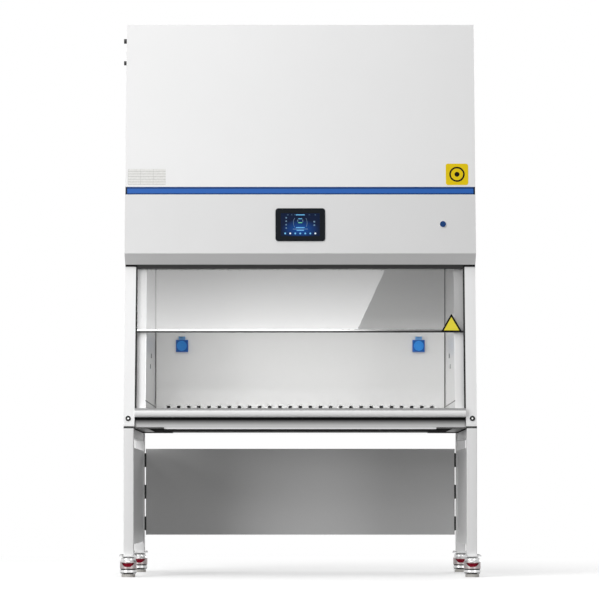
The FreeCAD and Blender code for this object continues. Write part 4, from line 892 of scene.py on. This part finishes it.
def make_screen_marks():
    """Generic marks on the lit screen: a title bar, dots, bars and an arc at each side."""
    glows = [
        lit("mark white", (0.75, 0.88, 1.0), 0.9),
        lit("mark cyan", (0.05, 0.45, 0.85), 0.9),
        lit("mark green", (0.10, 0.85, 0.35), 0.7),
        lit("mark dim", (0.04, 0.22, 0.42), 0.6),
    ]
    white, cyan, green, dim = range(len(glows))
    half_glass = 0.6 * MM
    low, high = 0.05 * MM, 0.25 * MM
    shape = bmesh.new()

    def bar(width, height, x, y, finish):
        """A rounded bar, given in millimetres from the middle of the screen."""
        radius = min(width, height) * 0.45 * MM
        outline = rounded_outline(rectangle(width * MM, height * MM, x * MM, y * MM), radius, 3)
        add_slab(shape, outline, low, high, finish)

    def dot(radius, x, y, finish):
        """A round dot, given in the same way."""
        add_slab(shape, circle(radius * MM, x * MM, y * MM, 16), low, high, finish)

    bar(36, 3.4, 0, 40, cyan)
    for x in (-50, -34, -22, 36, 60):
        bar(6, 1.4, x, 40, dim)
    for y in (28, 14, 0, -14):
        dot(3.0, -56, y, dim)
    for y in (12, -2):
        dot(3.6, 56, y, dim)
    for x in range(-60, 61, 20):
        dot(3.6, x, -36, white if x in (-40, 60) else cyan)
    bar(16, 2.6, 0, 24, cyan)
    bar(16, 2.6, 0, 8, green)
    for x in (-10, 10):
        bar(2.2, 9, x, 16, dim)
    for side in (-1, 1):
        add_slab(shape, bent_bar(38 * MM, 1.3 * MM, side), low, high, dim)
    bar(34, 3.0, 0, -12, cyan)
    bar(60, 2.4, 0, -18, dim)
    bar(30, 3.0, 0, -23, cyan)
    place = facing_out(middle("display_screen") - INTO_SLOPE * half_glass)
    piece("screen_marks", shape, place, "cabinet", *glows)


def bent_bar(radius, width, side, half_angle=math.radians(30), steps=14):
    """Outline of a bent bar, bulging to the left or the right."""
    inset, rise = 10 * MM, 8 * MM
    angles = [half_angle * (2 * step / steps - 1) for step in range(steps + 1)]

    def line(reach):
        return [Vector((side * (reach * math.cos(angle) - inset), reach * math.sin(angle) + rise))
                for angle in angles]

    return line(radius) + line(radius - width)[::-1]


# ---- stand, seals and fasteners ------------------------------------------------------------------------


def make_stand():
    """Four legs of square tube with rounded corners, and a rail between the legs at each side."""
    leg, leg_corner = 40 * MM, 3.5 * MM
    rail_width, rail_height, rail_corner = 30 * MM, 33 * MM, 2.5 * MM
    peel = 2.4 * MM
    low, high = low_corner("stand_frame"), high_corner("stand_frame")
    lie = Matrix.Rotation(-math.pi / 2, 4, "X")
    shape = bmesh.new()
    for x in (low.x + leg / 2, high.x - leg / 2):
        for y in (low.y + leg / 2, high.y - leg / 2):
            add_slab(shape, rounded_outline(rectangle(leg, leg, x, y), leg_corner), low.z, high.z)
        rail = bmesh.new()
        outline = rounded_outline(rectangle(rail_width, rail_height), rail_corner)
        add_slab(rail, outline, low.y + leg, high.y - leg)
        add_part(shape, rail, Matrix.Translation((x, 0, high.z - rail_height / 2)) @ lie)
    paint = powder_coat("stand enamel", grey(0.88), peel, 0.1 * MM, 0.46)
    stand = piece("stand", shape, Matrix(), "cabinet", paint, smooth=True)
    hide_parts("stand_frame")


def make_shade_strip():
    """Black strip under the arm rest, along the top of the lower front panel, as painted shade where the arm
    rest casts its shadow.
    """
    height, thickness, corner, chamfer = 8 * MM, 5 * MM, 1.2 * MM, 0.8 * MM
    end_gap, top_gap = 2 * MM, 0.3 * MM
    low, high = low_corner("lower_front_panel"), high_corner("lower_front_panel")
    shape = bmesh.new()
    outline = rounded_outline(rectangle(high.x - low.x - 2 * end_gap, height), corner, 3)
    add_slab(shape, outline, 0, thickness, chamfer=chamfer)
    # Painted shade: a black strip put where the arm rest's shadow falls.
    shade_black = moulded("shade strip black", grey(0.004), 0.8, 1.5 * MM, 0.1 * MM, shine=0.05)
    upright = Matrix.Rotation(math.pi / 2, 4, "X")
    place = Matrix.Translation((0, low.y, high.z - height / 2 - top_gap)) @ upright
    piece("armrest_shade_strip", shape, place, "cabinet", shade_black)


def make_chin_shade_strips():
    """Black strips on the posts, in line with the seal under the chin, as painted shade where the chin casts
    its shadow.
    """
    height, thickness, corner, chamfer = 8 * MM, 7 * MM, 1 * MM, 0.6 * MM
    end_gap, seal_gap, top_gap, back_gap = 1 * MM, 0.5 * MM, 0.3 * MM, 0.3 * MM
    outer = high_corner("control_panel").x - end_gap
    inner = high_corner("sash_seal").x + seal_gap
    shape = bmesh.new()
    for side in (-1, 1):
        strip = rectangle(outer - inner, height, side * (outer + inner) / 2)
        add_slab(shape, rounded_outline(strip, corner, 3), back_gap, thickness, chamfer=chamfer)
    # Painted shade: black strips put where the chin's shadow falls on the posts.
    rubber = moulded("chin shade black", grey(0.006), 0.7, shine=0.1)
    middle_height = low_corner("control_panel").z - height / 2 - top_gap
    place = facing_out(on_face("side_panel_right", 0, middle_height))
    piece("chin_shade_strips", shape, place, "cabinet", rubber)


def make_corner_beads():
    """Dark beads in the corners between the chamber's back and side walls."""
    bead, gap, steps = 3.5 * MM, 1 * MM, 5
    wall = low_corner("chamber_back")
    tray = high_corner("work_tray")
    shape = bmesh.new()
    for sign in (-1, 1):
        corner = Vector((sign * tray.x, wall.y))
        curve = [corner + Vector((-sign * bead * math.sin(turn), -bead * math.cos(turn)))
                 for turn in (math.pi / 2 * step / steps for step in range(steps + 1))]
        outline = [corner] + curve
        add_slab(shape, outline[::sign], tray.z + gap, low_corner("diffuser").z - gap)
    # A dark grey bead down each corner.
    bead_grey = moulded("corner bead grey", grey(0.10), 0.5, shine=0.3)
    piece("corner_beads", shape, Matrix(), "cabinet", bead_grey)


def make_fasteners():
    """Bolts on the caster plates, and screws round the rear panel."""
    bright = cast_metal("bolt steel", grey(0.42), 0.36, 0.9)
    recipe = bolt_grid(bright)
    make_plate_bolts(recipe, bright)
    make_rear_screws(recipe, bright)


def make_plate_bolts(recipe, steel):
    """Four bolts on each caster plate, round the leg that stands on it."""
    pitch = 54 * MM
    sizes = {"Head radius": 5.2 * MM, "Head height": 4.6 * MM, "Width": pitch, "Depth": pitch}
    plate = low_corner("stand_frame").z
    legs = [middle(f"caster_pad_{end}_{side}") for end, side in CORNERS]
    bolts = [(grown(recipe, sizes), Matrix.Translation((leg.x, leg.y, plate))) for leg in legs]
    merged("caster_plate_bolts", bolts, "cabinet", steel)


def make_rear_screws(recipe, steel):
    """Screws along the sides of the rear panel, and between them along its top and foot."""
    edge = 12 * MM
    low, high = low_corner("rear_panel"), high_corner("rear_panel")
    centre = (low + high) / 2
    out_of_back = Matrix.Translation((centre.x, high.y, centre.z)) @ Matrix.Rotation(-math.pi / 2, 4, "X")
    across, tall = high.x - low.x - 2 * edge, high.z - low.z - 2 * edge
    sizes = {"Head radius": 4 * MM, "Head height": 1.9 * MM, "Sides": 20, "Depth": tall}
    grids = ({"Columns": 2, "Rows": 7, "Width": across}, {"Columns": 4, "Rows": 2, "Width": across * 0.6})
    screws = [(grown(recipe, sizes | grid), out_of_back) for grid in grids]
    merged("rear_screws", screws, "cabinet", steel)


# ---- surroundings --------------------------------------------------------------------------------------


AMBIENT = 0.30
CAMERA_DISTANCE = 9.0
CAMERA_HEIGHT = 0.306
CAMERA_LENS = 136.54  # millimetres, for a sensor that is 36 wide
CAMERA_SHIFT = (-0.0013, 0.3347)
CARD_STRENGTH = 12.0
CARD_DISTANCE = 5.6
CARD_WIDTH = 3.2
FACE_Y = low_corner("side_panel_left").y
CAMERA_PLACE = Vector((0, FACE_Y - CAMERA_DISTANCE, CAMERA_HEIGHT))


def make_camera():
    """A level camera whose lens is shifted up, as for a picture of a building."""
    data = bpy.data.cameras.new("camera")
    data.sensor_width = 36
    data.lens = CAMERA_LENS
    data.shift_x, data.shift_y = CAMERA_SHIFT
    data.clip_end = 200
    camera = bpy.data.objects.new("camera", data)
    camera.location = CAMERA_PLACE
    camera.rotation_euler = (math.pi / 2, 0, 0)
    bpy.context.collection.objects.link(camera)
    bpy.context.scene.camera = camera


def make_world():
    """Soft light from all round; a plain white background where it is seen or mirrored."""
    sky = Finish("studio", "worlds")
    ambient = sky.node("ShaderNodeBackground", {}, {"Color": grey(1.0), "Strength": AMBIENT})
    white = sky.node("ShaderNodeBackground", {}, {"Color": grey(1.0), "Strength": 1.0})
    seen = sky.rays("Camera", "Glossy", "Transmission")
    bpy.context.scene.world = sky.done(sky.mix(seen, ambient, white))


def make_floor():
    """Pale floor: white to the eye a little way off, and darkened near the cabinet by its shadow."""
    near, far, half_size = 1.2, 3.0, 40
    bounce_level, near_level, near_glow = 0.25, 0.85, 0.42
    floor = Finish("pale floor")
    x, y, _ = floor.axes()
    away = ((x * x + y * y).root() - near) / (far - near)
    own = floor.node("ShaderNodeBsdfDiffuse", {}, {"Color": grey(bounce_level)})
    shaded = floor.node("ShaderNodeBsdfDiffuse", {}, {"Color": grey(near_level)})
    lift = floor.node("ShaderNodeEmission", {}, {"Color": grey(1.0), "Strength": near_glow})
    white = floor.node("ShaderNodeEmission", {}, {"Color": grey(1.0), "Strength": 1.0})
    around = floor.node("ShaderNodeAddShader", {}, {0: shaded, 1: lift})
    seen = floor.rays("Camera", "Glossy", "Transmission")
    material = floor.done(floor.mix(seen, own, floor.mix(away, around, white)))
    corners = [(*corner, 0) for corner in rectangle(2 * half_size, 2 * half_size)]
    flat_sheet("floor", corners, material)


def flat_sheet(name, corners, material):
    """One flat face that belongs to the studio."""
    shape = bmesh.new()
    shape.faces.new([shape.verts.new(corner) for corner in corners])
    mesh = bpy.data.meshes.new(name)
    shape.to_mesh(mesh)
    shape.free()
    mesh.materials.append(material)
    thing = bpy.data.objects.new(name, mesh)
    bpy.context.collection.objects.link(thing)
    return thing


def bounced(point, card_y):
    """Where a sight line that the pane mirrors meets an upright card in front of the cabinet."""
    ray = (point - CAMERA_PLACE).normalized()
    outward = -INTO_SLOPE
    back = ray - 2 * ray.dot(outward) * outward
    return point + back * ((card_y - point.y) / back.y)


def make_reflected_card():
    """A bright card that only shiny surfaces see; its slanting edge is mirrored in the pane."""
    upper_x, upper_rise = 338 * MM, 249.4 * MM
    lower_x, lower_rise = 226 * MM, 4.4 * MM
    above, below = 1.0, 0.6
    card_y = FACE_Y - CARD_DISTANCE
    foot = low_corner("sash_glass").z
    upper = bounced(on_face("sash_glass", upper_x, foot + upper_rise), card_y)
    lower = bounced(on_face("sash_glass", lower_x, foot + lower_rise), card_y)
    slant = upper - lower
    top, bottom = upper + slant * above, lower - slant * below
    width = Vector((CARD_WIDTH, 0, 0))

    glow = Finish("card glow")
    _, _, z = glow.axes()
    fade = (z - upper.z) / (lower.z - upper.z)
    colour = glow.blend(fade, grey(0.42), grey(1.0))
    material = glow.done(glow.node("ShaderNodeEmission", {}, {"Color": colour, "Strength": CARD_STRENGTH}))
    card = flat_sheet("card", [bottom, top, top - width, bottom - width], material)
    card.visible_camera = False
    card.visible_diffuse = False
    card.visible_shadow = False
    card.visible_transmission = False


def lamp(name, place, target, size, power):
    """A round soft lamp that is aimed at a target; its power is in watts."""
    data = bpy.data.lights.new(name, "AREA")
    data.shape = "DISK"
    data.size = size
    data.energy = power
    thing = bpy.data.objects.new(name, data)
    thing.location = place
    thing.rotation_euler = (Vector(target) - Vector(place)).to_track_quat("-Z", "Y").to_euler()
    bpy.context.collection.objects.link(thing)


def make_lights():
    """The studio's lamps: in front mostly from the left, one above and one behind."""
    lamp("steep key", (-0.8, -2.6, 5.2), (0, -0.2, 1.1), 2.4, 62)
    lamp("left key", (-3.4, -4.6, 3.4), (0, -0.2, 1.1), 2.6, 80)
    lamp("low left", (-3.6, -4.2, 0.9), (0, -0.2, 0.7), 2.0, 70)
    lamp("low right", (2.8, -3.8, 0.3), (-0.4, 0.0, 0.35), 1.2, 30)
    lamp("top", (-0.6, 0.2, 6.0), (0, 0, 1.2), 3.0, 40)
    lamp("rear fill", (2.4, 5.2, 2.6), (0, 0.3, 1.2), 3.0, 90)


dress_frame()
make_caution_plate()
make_rating_plate()
make_sash_marker()
make_screen_marks()
make_stand()
make_shade_strip()
make_chin_shade_strips()
make_corner_beads()
make_fasteners()
make_camera()
make_world()
make_floor()
make_reflected_card()
make_lights()

bpy.context.scene.view_settings.view_transform = "Standard"
